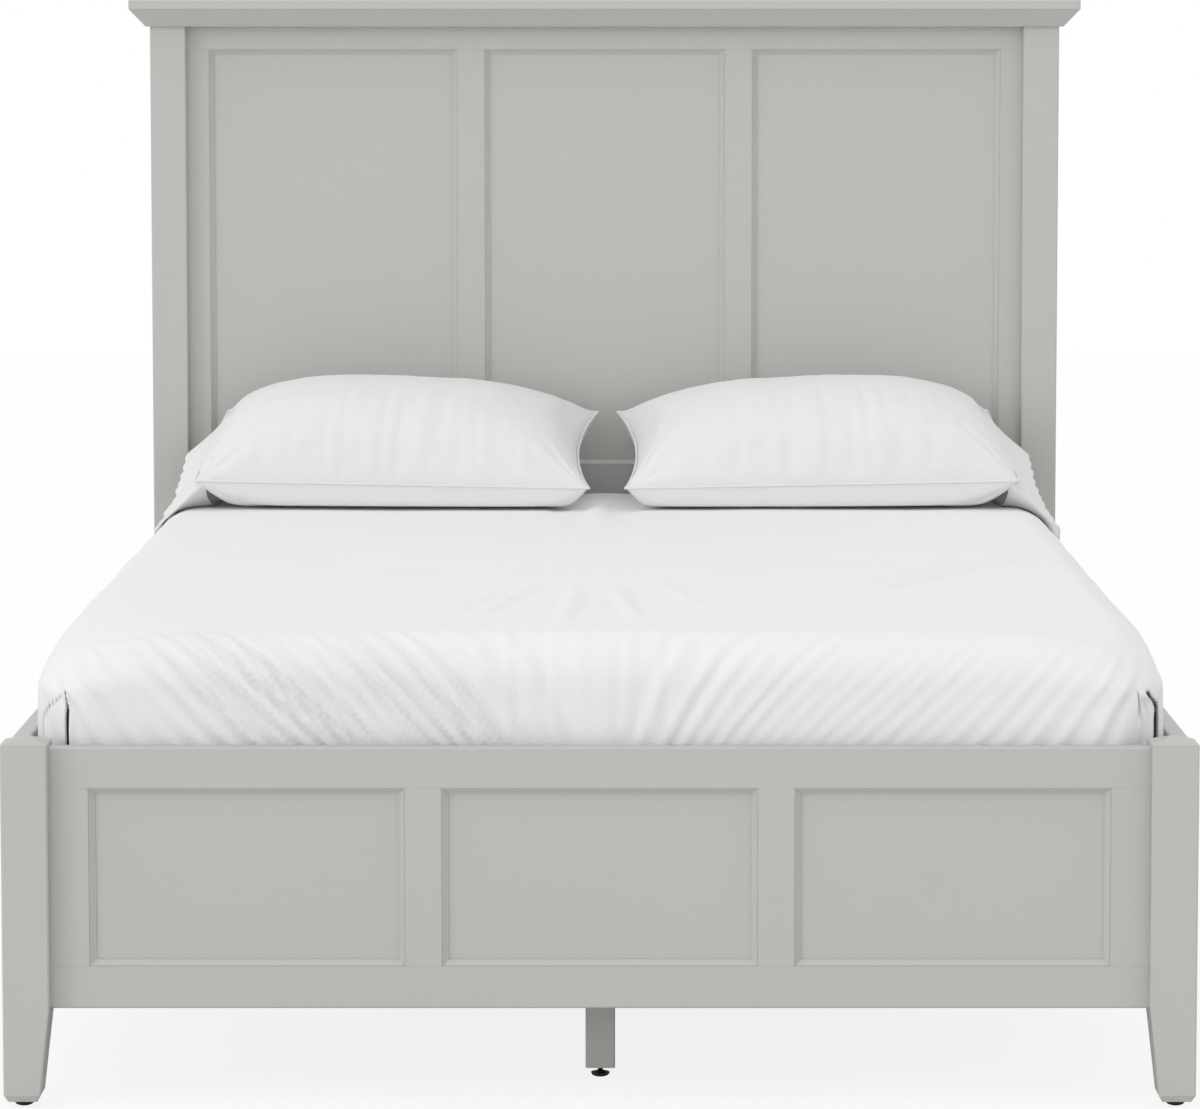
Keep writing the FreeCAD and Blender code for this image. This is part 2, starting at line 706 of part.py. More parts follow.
cleat_inner = rail_inner - CLEAT_WIDTH
cleat_end = inner_length - CLEAT_END_GAP
cleat_low = slat_bottom - CLEAT_HEIGHT
slat_reach = rail_inner - SLAT_END_GAP
first_slat = cleat_end - SLAT_WIDTH / 2
slat_count = ceil(2 * first_slat / SLAT_PITCH) + 1
slat_places = [first_slat * (2 * k / (slat_count - 1) - 1) for k in range(slat_count)]
cleats = []
for side_name, side in SIDES.items():
    rail = box(
        side * rail_inner,
        side * half_width,
        -inner_length,
        inner_length,
        SIDE_RAIL_TOP - SIDE_RAIL_HEIGHT,
        SIDE_RAIL_TOP,
    )
    rail = eased(rail, FRAME_EASE, lambda e: runs_along(e, Y))
    recesses = [rail_recess(side, end) for end in (FOOT_END, HEAD_END)]
    parts[f"side_rail_{side_name}"] = cut(rail, recesses)
    cleats.append(
        box(side * cleat_inner, side * rail_inner, -cleat_end, cleat_end, cleat_low, slat_bottom)
    )
parts["slat_cleats"] = Part.makeCompound(cleats)

# ---------------------------------------------------------------- slats and centre support

slats = []
for y in slat_places:
    slat = box(
        -slat_reach, slat_reach, y - SLAT_WIDTH / 2, y + SLAT_WIDTH / 2, slat_bottom, SLAT_TOP
    )
    slats.append(eased(slat, SLAT_EASE, lambda e: runs_along(e, X)))
parts["slats"] = Part.makeCompound(slats)

beam_low = slat_bottom - BEAM_HEIGHT
beam_end = inner_length - BEAM_END_GAP
beam = box(-BEAM_WIDTH / 2, BEAM_WIDTH / 2, -beam_end, beam_end, beam_low, slat_bottom)
beam_tools = []
lags = []
for leg_name, y in leg_places.items():
    head_low = slat_bottom - LAG_SINK
    lag_low = head_low - LAG_LENGTH
    shank = rod(LAG, 0, y, lag_low, head_low)
    lags.append(joined([shank, hexagon(LAG_HEAD_FLATS, 0, y, head_low, head_low + LAG_HEAD)]))
    lag_hole = rod(LAG + 2 * LAG_FIT, 0, y, lag_low - LAG_FIT, head_low)
    beam_tools += [lag_hole, rod(LAG_SINK_WIDTH, 0, y, head_low, slat_bottom)]
    half = CENTRE_LEG / 2
    leg = box(-half, half, y - half, y + half, centre_leg_bottom, beam_low)
    leg = eased(leg, CENTRE_LEG_EASE, lambda e: runs_along(e, Z))
    leg_tools = [lag_hole, insert_hole(0, y, centre_leg_bottom)]
    parts[f"centre_leg_{leg_name}"] = cut(leg, leg_tools)
    parts[f"glide_pad_centre_{leg_name}"] = glide_pad(0, y)
    parts[f"glide_stem_centre_{leg_name}"] = glide_stem(0, y)
    inserts.append(glide_insert(0, y, centre_leg_bottom))
parts["centre_beam"] = cut(beam, beam_tools)
parts["centre_leg_lag_screws"] = Part.makeCompound(lags)
parts["threaded_inserts"] = Part.makeCompound(inserts)

# ---------------------------------------------------------------- bedding on the base

core_low, core_high = SLAT_TOP + MATTRESS_PADDING, SLAT_TOP + MATTRESS - MATTRESS_PADDING
core = soft_block(-MATTRESS_PADDING, core_low, core_high)
parts["mattress"] = soft_block(0, SLAT_TOP, SLAT_TOP + MATTRESS).cut(core)
parts["sheet"] = sheet()
pillow_right, flap_right = pillow(), hem_flap()
parts["pillow_right"] = Part.makeCompound([pillow_right, flap_right])
parts["pillow_left"] = Part.makeCompound([mirrored(pillow_right, X), mirrored(flap_right, X)])

os.makedirs("parts", exist_ok=True)
for node, shape in parts.items():
    shape.exportStep(f"parts/{node}.step")
print(len(parts), "nodes,", sum(len(shape.Solids) for shape in parts.values()), "solids")
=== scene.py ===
"""Queen panel bed: painted finish, slatted base, hardware, mattress, sheet and pillows."""

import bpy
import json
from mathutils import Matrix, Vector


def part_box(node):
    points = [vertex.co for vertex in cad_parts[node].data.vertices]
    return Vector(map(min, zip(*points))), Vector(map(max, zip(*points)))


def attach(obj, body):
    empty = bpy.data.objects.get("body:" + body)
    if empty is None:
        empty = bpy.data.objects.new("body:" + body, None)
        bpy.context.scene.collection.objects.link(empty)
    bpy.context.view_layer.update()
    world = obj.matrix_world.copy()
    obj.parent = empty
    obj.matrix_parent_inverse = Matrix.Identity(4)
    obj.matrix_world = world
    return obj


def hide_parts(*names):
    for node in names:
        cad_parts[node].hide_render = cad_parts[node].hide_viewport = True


bl_info = {
    "name": "Panel Bed",
    "version": (1, 0, 0),
    "blender": (4, 5, 0),
    "location": "3D View > Sidebar > Bed",
    "description": "Finishes and bedding for a queen panel bed, with a studio stage",
    "category": "Add Mesh",
}

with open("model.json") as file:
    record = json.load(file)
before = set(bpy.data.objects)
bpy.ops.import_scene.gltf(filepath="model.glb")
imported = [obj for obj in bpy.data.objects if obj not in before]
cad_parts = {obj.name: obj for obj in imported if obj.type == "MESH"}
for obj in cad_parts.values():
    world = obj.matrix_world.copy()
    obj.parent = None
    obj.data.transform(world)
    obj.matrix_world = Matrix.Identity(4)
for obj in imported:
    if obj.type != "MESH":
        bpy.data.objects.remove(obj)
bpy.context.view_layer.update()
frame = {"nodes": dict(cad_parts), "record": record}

import json
from math import cos, pi, radians, sin, sqrt

import bmesh
import bpy
import numpy as np
from bpy.props import FloatProperty, FloatVectorProperty, IntProperty, PointerProperty
from mathutils import Vector, noise

LEFT, RIGHT = -1, 1
SIDES = {"left": LEFT, "right": RIGHT}
GLIDES = ("foot_left", "foot_right", "head_left", "head_right", "centre_foot", "centre_middle", "centre_head")

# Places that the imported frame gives
mattress_low, mattress_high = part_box("mattress")
sheet_low, sheet_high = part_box("sheet")
cleats_low, cleats_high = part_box("slat_cleats")
slat_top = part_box("slats")[1].z


# ---------------------------------------------------------------- settings


class PaintSettings(bpy.types.PropertyGroup):
    colour: FloatVectorProperty(
        name="Paint colour",
        description="Colour of the painted frame",
        subtype="COLOR",
        size=3,
        min=0.0,
        max=1.0,
        default=(0.506, 0.499, 0.479),
    )
    roughness: FloatProperty(
        name="Roughness", description="How satin the paint is", min=0.0, max=1.0, default=0.46
    )
    ease: FloatProperty(
        name="Edge softness",
        description="Radius that the paint gives every arris",
        unit="LENGTH",
        min=0.0,
        default=0.0009,
    )


class TimberSettings(bpy.types.PropertyGroup):
    light: FloatVectorProperty(
        name="Early wood",
        description="Pale part of the pine's grain",
        subtype="COLOR",
        size=3,
        min=0.0,
        max=1.0,
        default=(0.8, 0.63, 0.42),
    )
    dark: FloatVectorProperty(
        name="Late wood",
        description="Dark part of the pine's grain",
        subtype="COLOR",
        size=3,
        min=0.0,
        max=1.0,
        default=(0.62, 0.42, 0.23),
    )


class HardwareSettings(bpy.types.PropertyGroup):
    pitch: FloatProperty(
        name="Thread pitch",
        description="Rise of the glide's thread in one turn",
        unit="LENGTH",
        min=0.0005,
        default=0.00125,
    )
    thread_depth: FloatProperty(
        name="Thread depth",
        description="Depth of the glide's thread",
        unit="LENGTH",
        min=0.0,
        default=0.0007,
    )
    screw_head: FloatProperty(
        name="Screw head",
        description="Diameter of the wood screws' heads",
        unit="LENGTH",
        min=0.002,
        default=0.0078,
    )


class BeddingSettings(bpy.types.PropertyGroup):
    linen: FloatVectorProperty(
        name="Linen colour",
        description="Colour of the sheet and the pillowcases",
        subtype="COLOR",
        size=3,
        min=0.0,
        max=1.0,
        default=(0.852, 0.838, 0.848),
    )
    # The ticking is kept near black so that the slits of the sheet's corner tucks show dark: painted shade in
    # the slits.
    ticking: FloatVectorProperty(
        name="Ticking colour",
        description="Colour of the mattress's border",
        subtype="COLOR",
        size=3,
        min=0.0,
        max=1.0,
        default=(0.05, 0.05, 0.055),
    )
    corner: FloatProperty(
        name="Mattress corner",
        description="Radius of the mattress's upright corners",
        unit="LENGTH",
        default=0.09,
    )
    edge: FloatProperty(
        name="Mattress edge",
        description="Radius of the mattress's top edge",
        unit="LENGTH",
        default=0.064,
    )
    wrinkle: FloatProperty(
        name="Wrinkle height",
        description="Height of the sheet's tension folds",
        unit="LENGTH",
        default=0.0052,
    )
    thread: FloatProperty(
        name="Thread spacing",
        description="Spacing of the linen's threads",
        unit="LENGTH",
        default=0.0006,
    )
    crown: FloatProperty(
        name="Pillow crown",
        description="Rise of a pillow's top above its seams",
        unit="LENGTH",
        default=0.114,
    )
    belly: FloatProperty(
        name="Pillow belly",
        description="Depth of a pillow's underside below its seams",
        unit="LENGTH",
        default=0.15,
    )
    pressure: FloatProperty(
        name="Filling", description="How hard the filling pushes the case out", default=4.0
    )
    frames: IntProperty(name="Settling", description="Steps that a pillow settles for", default=18)


class StageSettings(bpy.types.PropertyGroup):
    camera: FloatVectorProperty(
        name="Camera",
        description="Place of the camera",
        subtype="XYZ",
        unit="LENGTH",
        size=3,
        default=(0.0279, -7.4074, 1.478),
    )
    tilt: FloatProperty(
        name="Tilt",
        description="How far the camera looks down",
        subtype="ANGLE",
        default=radians(4.908),
    )
    lens: FloatProperty(name="Lens", description="Focal length in millimetres", default=139.04)
    world: FloatProperty(name="Fill", description="Strength of the even light", default=0.86)
    front: FloatProperty(
        name="Front", description="Strength of the low light from the front", default=0.1
    )
    above: FloatProperty(name="Above", description="Strength of the light from above", default=0.4)
    side: FloatProperty(name="Side", description="Strength of the light from the left", default=0.5)


class BedSettings(bpy.types.PropertyGroup):
    paint: PointerProperty(type=PaintSettings)
    timber: PointerProperty(type=TimberSettings)
    hardware: PointerProperty(type=HardwareSettings)
    bedding: PointerProperty(type=BeddingSettings)
    stage: PointerProperty(type=StageSettings)


# ---------------------------------------------------------------- materials


def add(tree, kind, inputs=None, **settings):
    """A node with its settings, and with its inputs set or linked."""
    made = tree.nodes.new(kind)
    for name, value in settings.items():
        setattr(made, name, value)
    for name, value in (inputs or {}).items():
        if isinstance(value, bpy.types.NodeSocket):
            tree.links.new(value, made.inputs[name])
        else:
            made.inputs[name].default_value = value
    return made


def finish_of(name, **values):
    """A material with its shader's own values set."""
    made = bpy.data.materials.new(name)
    made.use_nodes = True
    shader = made.node_tree.nodes["Principled BSDF"]
    for key, value in values.items():
        shader.inputs[key.replace("_", " ")].default_value = value
    return made, made.node_tree, shader


def shaded(tree, fac, low, high):
    """A colour that goes from low to high with a factor."""
    ramp = add(tree, "ShaderNodeMix", {"Factor": fac}, data_type="RGBA")
    ramp.inputs["A"].default_value = (*low, 1)
    ramp.inputs["B"].default_value = (*high, 1)
    return ramp.outputs["Result"]


def speckle(tree, place, scale, detail=2.0, rough=0.5):
    """Noise at a scale in cycles to a metre."""
    inputs = {"Vector": place, "Scale": scale, "Detail": detail, "Roughness": rough}
    return add(tree, "ShaderNodeTexNoise", inputs).outputs["Fac"]


def bumped(tree, height, distance, strength, normal=None):
    """A bump of a real depth, laid over another normal."""
    inputs = {"Height": height, "Distance": distance, "Strength": strength}
    if normal is not None:
        inputs["Normal"] = normal
    return add(tree, "ShaderNodeBump", inputs).outputs["Normal"]


def spread(tree, value, low, high):
    """A factor mapped from 0.3 - 0.7 to another range."""
    inputs = {"Value": value, "From Min": 0.3, "From Max": 0.7, "To Min": low, "To Max": high}
    return add(tree, "ShaderNodeMapRange", inputs).outputs["Result"]


def dyed(colour, share):
    """The colour made darker or lighter by a share."""
    return tuple(min(1.0, c * share) for c in colour)


def satin_paint(settings):
    """Sprayed satin paint: soft arrises, faint orange peel and the least drift of tone."""
    made, tree, shader = finish_of("satin_paint", Coat_Weight=0.06, Coat_Roughness=0.3)
    place = add(tree, "ShaderNodeTexCoord").outputs["Object"]
    drift = speckle(tree, place, 2.3, 3)
    tone = shaded(tree, drift, dyed(settings.colour, 0.985), dyed(settings.colour, 1.015))
    tree.links.new(tone, shader.inputs["Base Color"])
    rough = spread(tree, speckle(tree, place, 60), settings.roughness - 0.05, settings.roughness + 0.05)
    tree.links.new(rough, shader.inputs["Roughness"])
    arris = add(tree, "ShaderNodeBevel", {"Radius": settings.ease}, samples=4).outputs["Normal"]
    laid = bumped(tree, speckle(tree, place, 45, 3), 0.0006, 0.05, arris)
    peel = bumped(tree, speckle(tree, place, 700, 1), 0.00006, 0.2, laid)
    tree.links.new(peel, shader.inputs["Normal"])
    return made


def pine(settings, name, axis):
    """Planed pine with its grain along an axis."""
    made, tree, shader = finish_of(name, Roughness=0.62)
    place = add(tree, "ShaderNodeTexCoord").outputs["Object"]
    stretch = [1.0, 1.0, 1.0]
    stretch[axis] = 0.045
    grain_place = add(tree, "ShaderNodeMapping", {"Vector": place, "Scale": stretch}).outputs["Vector"]
    rings = add(
        tree,
        "ShaderNodeTexWave",
        {"Vector": grain_place, "Scale": 26, "Distortion": 9, "Detail": 3, "Detail Scale": 1.4},
        bands_direction="Z" if axis == 0 else "X",
    ).outputs["Fac"]
    fibre = speckle(tree, grain_place, 420, 3, 0.7)
    late = add(tree, "ShaderNodeMath", {0: rings, 1: 2.2}, operation="POWER").outputs[0]
    tone = shaded(tree, late, settings.light, settings.dark)
    fibred = add(tree, "ShaderNodeMix", {"Factor": 0.25}, data_type="RGBA", blend_type="MULTIPLY")
    tree.links.new(tone, fibred.inputs["A"])
    tree.links.new(shaded(tree, fibre, (0.7, 0.62, 0.52), (1, 1, 1)), fibred.inputs["B"])
    tree.links.new(fibred.outputs["Result"], shader.inputs["Base Color"])
    tree.links.new(bumped(tree, fibre, 0.0002, 0.4), shader.inputs["Normal"])
    return made


def zinc():
    """Zinc plate with a faint passivated mottle."""
    made, tree, shader = finish_of("zinc_plate", Metallic=1.0)
    place = add(tree, "ShaderNodeTexCoord").outputs["Object"]
    mottle = speckle(tree, place, 180, 4, 0.6)
    tone = shaded(tree, mottle, (0.5, 0.5, 0.52), (0.68, 0.68, 0.69))
    tree.links.new(tone, shader.inputs["Base Color"])
    tree.links.new(spread(tree, mottle, 0.28, 0.45), shader.inputs["Roughness"])
    tree.links.new(bumped(tree, speckle(tree, place, 900, 2), 0.00004, 0.5), shader.inputs["Normal"])
    return made


def black_oxide():
    """Blackened steel with a trace of oil."""
    made, tree, shader = finish_of("black_oxide", Metallic=0.85)
    place = add(tree, "ShaderNodeTexCoord").outputs["Object"]
    mottle = speckle(tree, place, 260, 4)
    tone = shaded(tree, mottle, (0.016, 0.015, 0.014), (0.035, 0.032, 0.03))
    tree.links.new(tone, shader.inputs["Base Color"])
    tree.links.new(spread(tree, mottle, 0.3, 0.5), shader.inputs["Roughness"])
    return made


def moulded_black():
    """Black nylon with the fine grain of its mould."""
    made, tree, shader = finish_of("moulded_black", IOR=1.5)
    place = add(tree, "ShaderNodeTexCoord").outputs["Object"]
    grain = speckle(tree, place, 1500, 3)
    tone = shaded(tree, grain, (0.011, 0.01, 0.009), (0.022, 0.02, 0.018))
    tree.links.new(tone, shader.inputs["Base Color"])
    tree.links.new(spread(tree, speckle(tree, place, 120), 0.42, 0.58), shader.inputs["Roughness"])
    tree.links.new(bumped(tree, grain, 0.00006, 0.6), shader.inputs["Normal"])
    return made


def woven(name, colour, spacing, depth, sheen, contrast):
    """Plain weave that follows the cloth's own flat coordinates, in metres."""
    made, tree, shader = finish_of(
        name, Roughness=0.88, Sheen_Weight=sheen, Sheen_Roughness=0.45, Specular_IOR_Level=0.25
    )
    flat = add(tree, "ShaderNodeUVMap", uv_map="flat").outputs["UV"]
    split = add(tree, "ShaderNodeSeparateXYZ", {"Vector": flat})
    waves = []
    for axis in ("X", "Y"):
        turn = add(
            tree, "ShaderNodeMath", {0: split.outputs[axis], 1: 2 * pi / spacing}, operation="MULTIPLY"
        ).outputs[0]
        waves.append(add(tree, "ShaderNodeMath", {0: turn}, operation="SINE").outputs[0])
    weave = add(tree, "ShaderNodeMath", {0: waves[0], 1: waves[1]}, operation="MULTIPLY").outputs[0]
    slub_place = add(tree, "ShaderNodeMapping", {"Vector": flat, "Scale": (900, 60, 1)}).outputs["Vector"]
    slub = speckle(tree, slub_place, 1, 2)
    drift = speckle(tree, flat, 7, 3)
    mixed = add(tree, "ShaderNodeMath", {0: slub, 1: drift}, operation="MULTIPLY_ADD")
    mixed.inputs[2].default_value = 0.1
    tone = shaded(tree, mixed.outputs[0], dyed(colour, 1 - contrast), dyed(colour, 1 + contrast))
    tree.links.new(tone, shader.inputs["Base Color"])
    soft = bumped(tree, slub, depth * 0.6, 0.25)
    tree.links.new(bumped(tree, weave, depth, 0.5, soft), shader.inputs["Normal"])
    return made


# ---------------------------------------------------------------- meshes


def settings_of(context):
    """The bed's own settings on the scene."""
    return context.scene.bed_settings


def shape(name, points, faces, flat=None, smooth=True):
    """A mesh object with its own flat coordinates, in metres, as its UV map."""
    mesh = bpy.data.meshes.new(name)
    mesh.from_pydata([tuple(p) for p in points], [], [tuple(f) for f in faces])
    if flat is not None:
        layer = mesh.uv_layers.new(name="flat")
        corners = np.zeros(len(mesh.loops), np.int32)
        mesh.loops.foreach_get("vertex_index", corners)
        layer.data.foreach_set("uv", np.asarray(flat, np.float32)[corners].ravel())
    if smooth:
        mesh.shade_smooth()
    mesh.validate()
    made = bpy.data.objects.new(name, mesh)
    bpy.context.scene.collection.objects.link(made)
    return made


def outward(obj):
    """Merges doubles and turns every face out."""
    bm = bmesh.new()
    bm.from_mesh(obj.data)
    bmesh.ops.remove_doubles(bm, verts=bm.verts, dist=1e-6)
    bmesh.ops.recalc_face_normals(bm, faces=bm.faces)
    bm.to_mesh(obj.data)
    bm.free()
    return obj


def applied(obj):
    """The object with its modifiers made part of its mesh."""
    view = bpy.context.evaluated_depsgraph_get()
    mesh = bpy.data.meshes.new_from_object(
        obj.evaluated_get(view), preserve_all_data_layers=True, depsgraph=view
    )
    obj.modifiers.clear()
    obj.data = mesh
    return obj


def merged(name, objects):
    """One object from several, which are used up."""
    bm = bmesh.new()
    for obj in objects:
        bm.from_mesh(obj.data)
    first = objects[0].data
    mesh = bpy.data.meshes.new(name)
    for slot_material in first.materials:
        mesh.materials.append(slot_material)
    bm.to_mesh(mesh)
    bm.free()
    for obj in objects:
        bpy.data.objects.remove(obj)
    made = bpy.data.objects.new(name, mesh)
    bpy.context.scene.collection.objects.link(made)
    return made


def waves(place, scale, seed=0.0):
    """Smooth noise from -1 to 1 at each place."""
    shift = Vector((seed * 7.13, seed * 3.71, seed * 5.39))
    return np.array([noise.noise(Vector(p) * scale + shift) for p in place])


def smooth_step(x, low, high):
    """Rises smoothly from 0 at low to 1 at high."""
    t = np.clip((x - low) / (high - low), 0, 1)
    return t * t * (3 - 2 * t)


def slumped(place):
    """Lets the soft top sink towards its front corners and waver along its sides."""
    x, y, z = place.T
    high = smooth_step(z, sheet_high.z - 0.12, sheet_high.z - 0.02)
    from_side = ((np.abs(x) - 0.79) / 0.13) ** 2
    sink = 0.034 * np.exp(-(from_side + ((y + 1.037) / 0.17) ** 2))
    sink += 0.006 * np.exp(-(from_side + ((y - 1.041) / 0.17) ** 2))
    rim = np.exp(-(((np.abs(x) - 0.78) / 0.06) ** 2)) * smooth_step(y, -1.0, -0.8)
    sway = waves(np.c_[y, np.sign(x) * 2, 0 * x], 5.5, 21) * (1 - smooth_step(y, 0.45, 0.65))
    moved = place.copy()
    moved[:, 2] -= high * (sink + rim * (0.003 + 0.0035 * sway))
    return moved


def wrapped(rings, around):
    """Quads between closed rings of points, each ring above the one before it."""
    quads = []
    for m in range(rings - 1):
        for k in range(around):
            n = (k + 1) % around
            quads.append((m * around + k, m * around + n, (m + 1) * around + n, (m + 1) * around + k))
    return quads


def looped(stations, around):
    """Quads of a tube that closes on itself, with a ring of points at each station."""
    quads = []
    for k in range(stations):
        for m in range(around):
            n, q = (k + 1) % stations, (m + 1) % around
            quads.append((k * around + m, n * around + m, n * around + q, k * around + q))
    return quads


class Block:
    """The grid of a block with round upright corners: a ring for each step of its profile, and a
    level top and, if wanted, bottom that share the end rings."""

    def __init__(self, half, y0, y1, corner, profile, steps, corner_steps, bottom):
        cx = half - corner
        columns = [[-cx, -1 + k / corner_steps] for k in range(corner_steps)]
        columns += [[c, 0.0] for c in np.linspace(-cx, cx, steps[0] + 1)]
        columns += [[cx, (k + 1) / corner_steps] for k in range(corner_steps)]
        a, b = y0 + corner, y1 - corner
        rows = [[a, -1 + k / corner_steps] for k in range(corner_steps)]
        rows += [[c, 0.0] for c in np.linspace(a, b, steps[1] + 1)]
        rows += [[b, (k + 1) / corner_steps] for k in range(corner_steps)]
        nx, ny = len(columns), len(rows)
        round_it = [(i, 0) for i in range(nx - 1)] + [(nx - 1, j) for j in range(ny - 1)]
        round_it += [(i, ny - 1) for i in range(nx - 1, 0, -1)] + [(0, j) for j in range(ny - 1, 0, -1)]
        self.place, self.normal, self.plan, self.run, self.flat = [], [], [], [], []
        ring = len(round_it)
        self.faces = wrapped(len(profile), ring)

        def point(i, j, inset, z, out, up, run):
            (px, fx), (py, fy) = columns[i], rows[j]
            size, length = max(abs(fx), abs(fy)), sqrt(fx * fx + fy * fy)
            dx, dy = (fx / length, fy / length) if length else (0.0, 0.0)
            reach = (corner - inset) * size
            self.place.append((px + dx * reach, py + dy * reach, z))
            self.normal.append((dx * out, dy * out, up))
            self.plan.append((dx, dy))
            self.run.append(run)
            self.flat.append((px + dx * (reach + max(run, 0)), py + dy * (reach + max(run, 0))))

        for inset, z, out, up, run in profile:
            for i, j in round_it:
                point(i, j, inset, z, out, up, run)
        for level, way in ((len(profile) - 1, 1), (0, -1)):
            if way == -1 and not bottom:
                continue
            inset, z = profile[level][:2]
            at = {p: level * ring + k for k, p in enumerate(round_it)}
            for j in range(ny):
                for i in range(nx):
                    if (i, j) not in at:
                        at[i, j] = len(self.place)
                        inside = min(i, nx - 1 - i, j, ny - 1 - j)
                        point(i, j, inset, z, 0.0, way, -0.001 * inside)
            for j in range(ny - 1):
                for i in range(nx - 1):
                    quad = (at[i, j], at[i + 1, j], at[i + 1, j + 1], at[i, j + 1])
                    self.faces.append(quad if way == 1 else quad[::-1])
        self.place, self.normal = np.array(self.place), np.array(self.normal)
        self.plan, self.run = np.array(self.plan), np.array(self.run)
        lengths = np.linalg.norm(self.normal, axis=1, keepdims=True)
        self.normal = self.normal / np.maximum(lengths, 1e-9)

    def along_wall(self):
        """Distance along whichever wall each point stands on."""
        plan = np.abs(self.plan)
        return np.where(plan[:, 0] > plan[:, 1], self.place[:, 1], self.place[:, 0])


def side_profile(low, high, edge, steps, edge_steps):
    """Rings up an upright side and over its rounded top edge: inset, height, normal and run."""
    turn = edge * pi / 2
    rows = []
    for k in range(steps):
        z = low + (high - edge - low) * k / steps
        rows.append((0.0, z, 1.0, 0.0, turn + high - edge - z))
    for k in range(edge_steps + 1):
        a = pi / 2 * k / edge_steps
        rows.append((edge * (1 - cos(a)), high - edge * (1 - sin(a)), cos(a), sin(a), turn - edge * a))
    return rows


# ---------------------------------------------------------------- frame and hardware


class PaintBed(bpy.types.Operator):
    """Paints the headboard, footboard, rails and centre legs"""

    bl_idname = "bed.paint_frame"
    bl_label = "Paint the frame"

    def execute(self, context):
        paint = satin_paint(settings_of(context).paint)
        for row in frame["record"]["subparts"]:
            if row["material_slot"] == "painted_wood":
                frame["nodes"][row["node"]].data.materials[0] = paint
        return {"FINISHED"}


class FinishBase(bpy.types.Operator):
    """Gives the slats, cleats and centre beam their grain"""

    bl_idname = "bed.finish_base"
    bl_label = "Finish the slatted base"

    def execute(self, context):
        timber = settings_of(context).timber
        across, along = pine(timber, "pine_across", 0), pine(timber, "pine_along", 1)
        frame["nodes"]["slats"].data.materials[0] = across
        for name in ("slat_cleats", "centre_beam"):
            frame["nodes"][name].data.materials[0] = along
        return {"FINISHED"}


def screw_head(head):
    """A low domed head with a cross recess, made once and set on every point."""
    outline = []
    reach, wide, sides = head * 0.27, head * 0.065, 48
    for k in range(sides):
        a = 2 * pi * k / sides
        t = (a + pi / 4) % (pi / 2) - pi / 4
        outline.append(reach / cos(t) if abs(sin(t)) * reach < wide * cos(t) else wide / abs(sin(t)))
    rings = [
        [(r * 0.5, head * 0.04) for r in outline],
        [(r * 0.93, head * 0.05) for r in outline],
        [(r, head * 0.15) for r in outline],
        [(head * 0.36, head * 0.14)] * sides,
        [(head * 0.46, head * 0.09)] * sides,
        [(head * 0.5, 0.0)] * sides,
    ]
    points = [
        (r * cos(2 * pi * k / sides), r * sin(2 * pi * k / sides), z)
        for ring in rings
        for k, (r, z) in enumerate(ring)
    ]
    faces = [tuple(range(sides))]
    for m in range(len(rings) - 1):
        for k in range(sides):
            n = (k + 1) % sides
            faces.append((m * sides + k, (m + 1) * sides + k, (m + 1) * sides + n, m * sides + n))
    return shape("screw_head", points, faces, smooth=False)


def screw_tree():
    """One screw head on each point, each turned by its own angle from a fixed seed."""
    tree = bpy.data.node_groups.new("screw_heads", "GeometryNodeTree")
    face = tree.interface
    face.new_socket("Geometry", in_out="INPUT", socket_type="NodeSocketGeometry")
    face.new_socket("Head", in_out="INPUT", socket_type="NodeSocketObject")
    face.new_socket("Turn", in_out="INPUT", socket_type="NodeSocketRotation")
    face.new_socket("Finish", in_out="INPUT", socket_type="NodeSocketMaterial")
    face.new_socket("Geometry", in_out="OUTPUT", socket_type="NodeSocketGeometry")
    given = tree.nodes.new("NodeGroupInput").outputs
    head = add(tree, "GeometryNodeObjectInfo", {"Object": given["Head"]}).outputs["Geometry"]
    angle = add(tree, "FunctionNodeRandomValue", {"Seed": 7}, data_type="FLOAT")
    angle.inputs[3].default_value = pi / 2
    spin = add(tree, "ShaderNodeCombineXYZ", {"Z": angle.outputs[1]}).outputs[0]
    spun = add(tree, "FunctionNodeEulerToRotation", {0: spin}).outputs[0]
    both = add(tree, "FunctionNodeRotateRotation", {0: spun, 1: given["Turn"]}, rotation_space="GLOBAL")
    placed = add(
        tree,
        "GeometryNodeInstanceOnPoints",
        {"Points": given["Geometry"], "Instance": head, "Rotation": both.outputs[0]},
    ).outputs[0]
    real = add(tree, "GeometryNodeRealizeInstances", {"Geometry": placed}).outputs[0]
    dressed = add(tree, "GeometryNodeSetMaterial", {"Geometry": real, "Material": given["Finish"]})
    out = tree.nodes.new("NodeGroupOutput")
    tree.links.new(dressed.outputs[0], out.inputs[0])
    return tree


def screws(name, tree, points, turn, head, finish):
    """Screw heads at points, facing a way given by Euler angles."""
    mesh = bpy.data.meshes.new(name)
    mesh.from_pydata(points, [], [])
    made = bpy.data.objects.new(name, mesh)
    bpy.context.scene.collection.objects.link(made)
    layer = made.modifiers.new("heads", "NODES")
    layer.node_group = tree
    sockets = {s.name: s.identifier for s in tree.interface.items_tree if s.in_out == "INPUT"}
    layer[sockets["Head"]] = head
    layer[sockets["Turn"]] = turn
    layer[sockets["Finish"]] = finish
    return applied(made)


# The glides' stems
THREAD_RADIUS = 0.00381
THREAD_END = 0.0032  # radius of the stem's chamfered end
CHAMFER_RISE, CHAMFER_DEPTH = 0.0012, 0.0008
COLLAR_HEIGHT, COLLAR_EASE = 0.0024, 0.0003
PIVOT_RADIUS, PIVOT_EASE = 0.00297, 0.0002
# The slatted base
SLAT_WIDTH = 0.068
CLEAT_WIDTH = 0.03
CLEAT_SCREWS = np.linspace(-0.9, 0.9, 10)


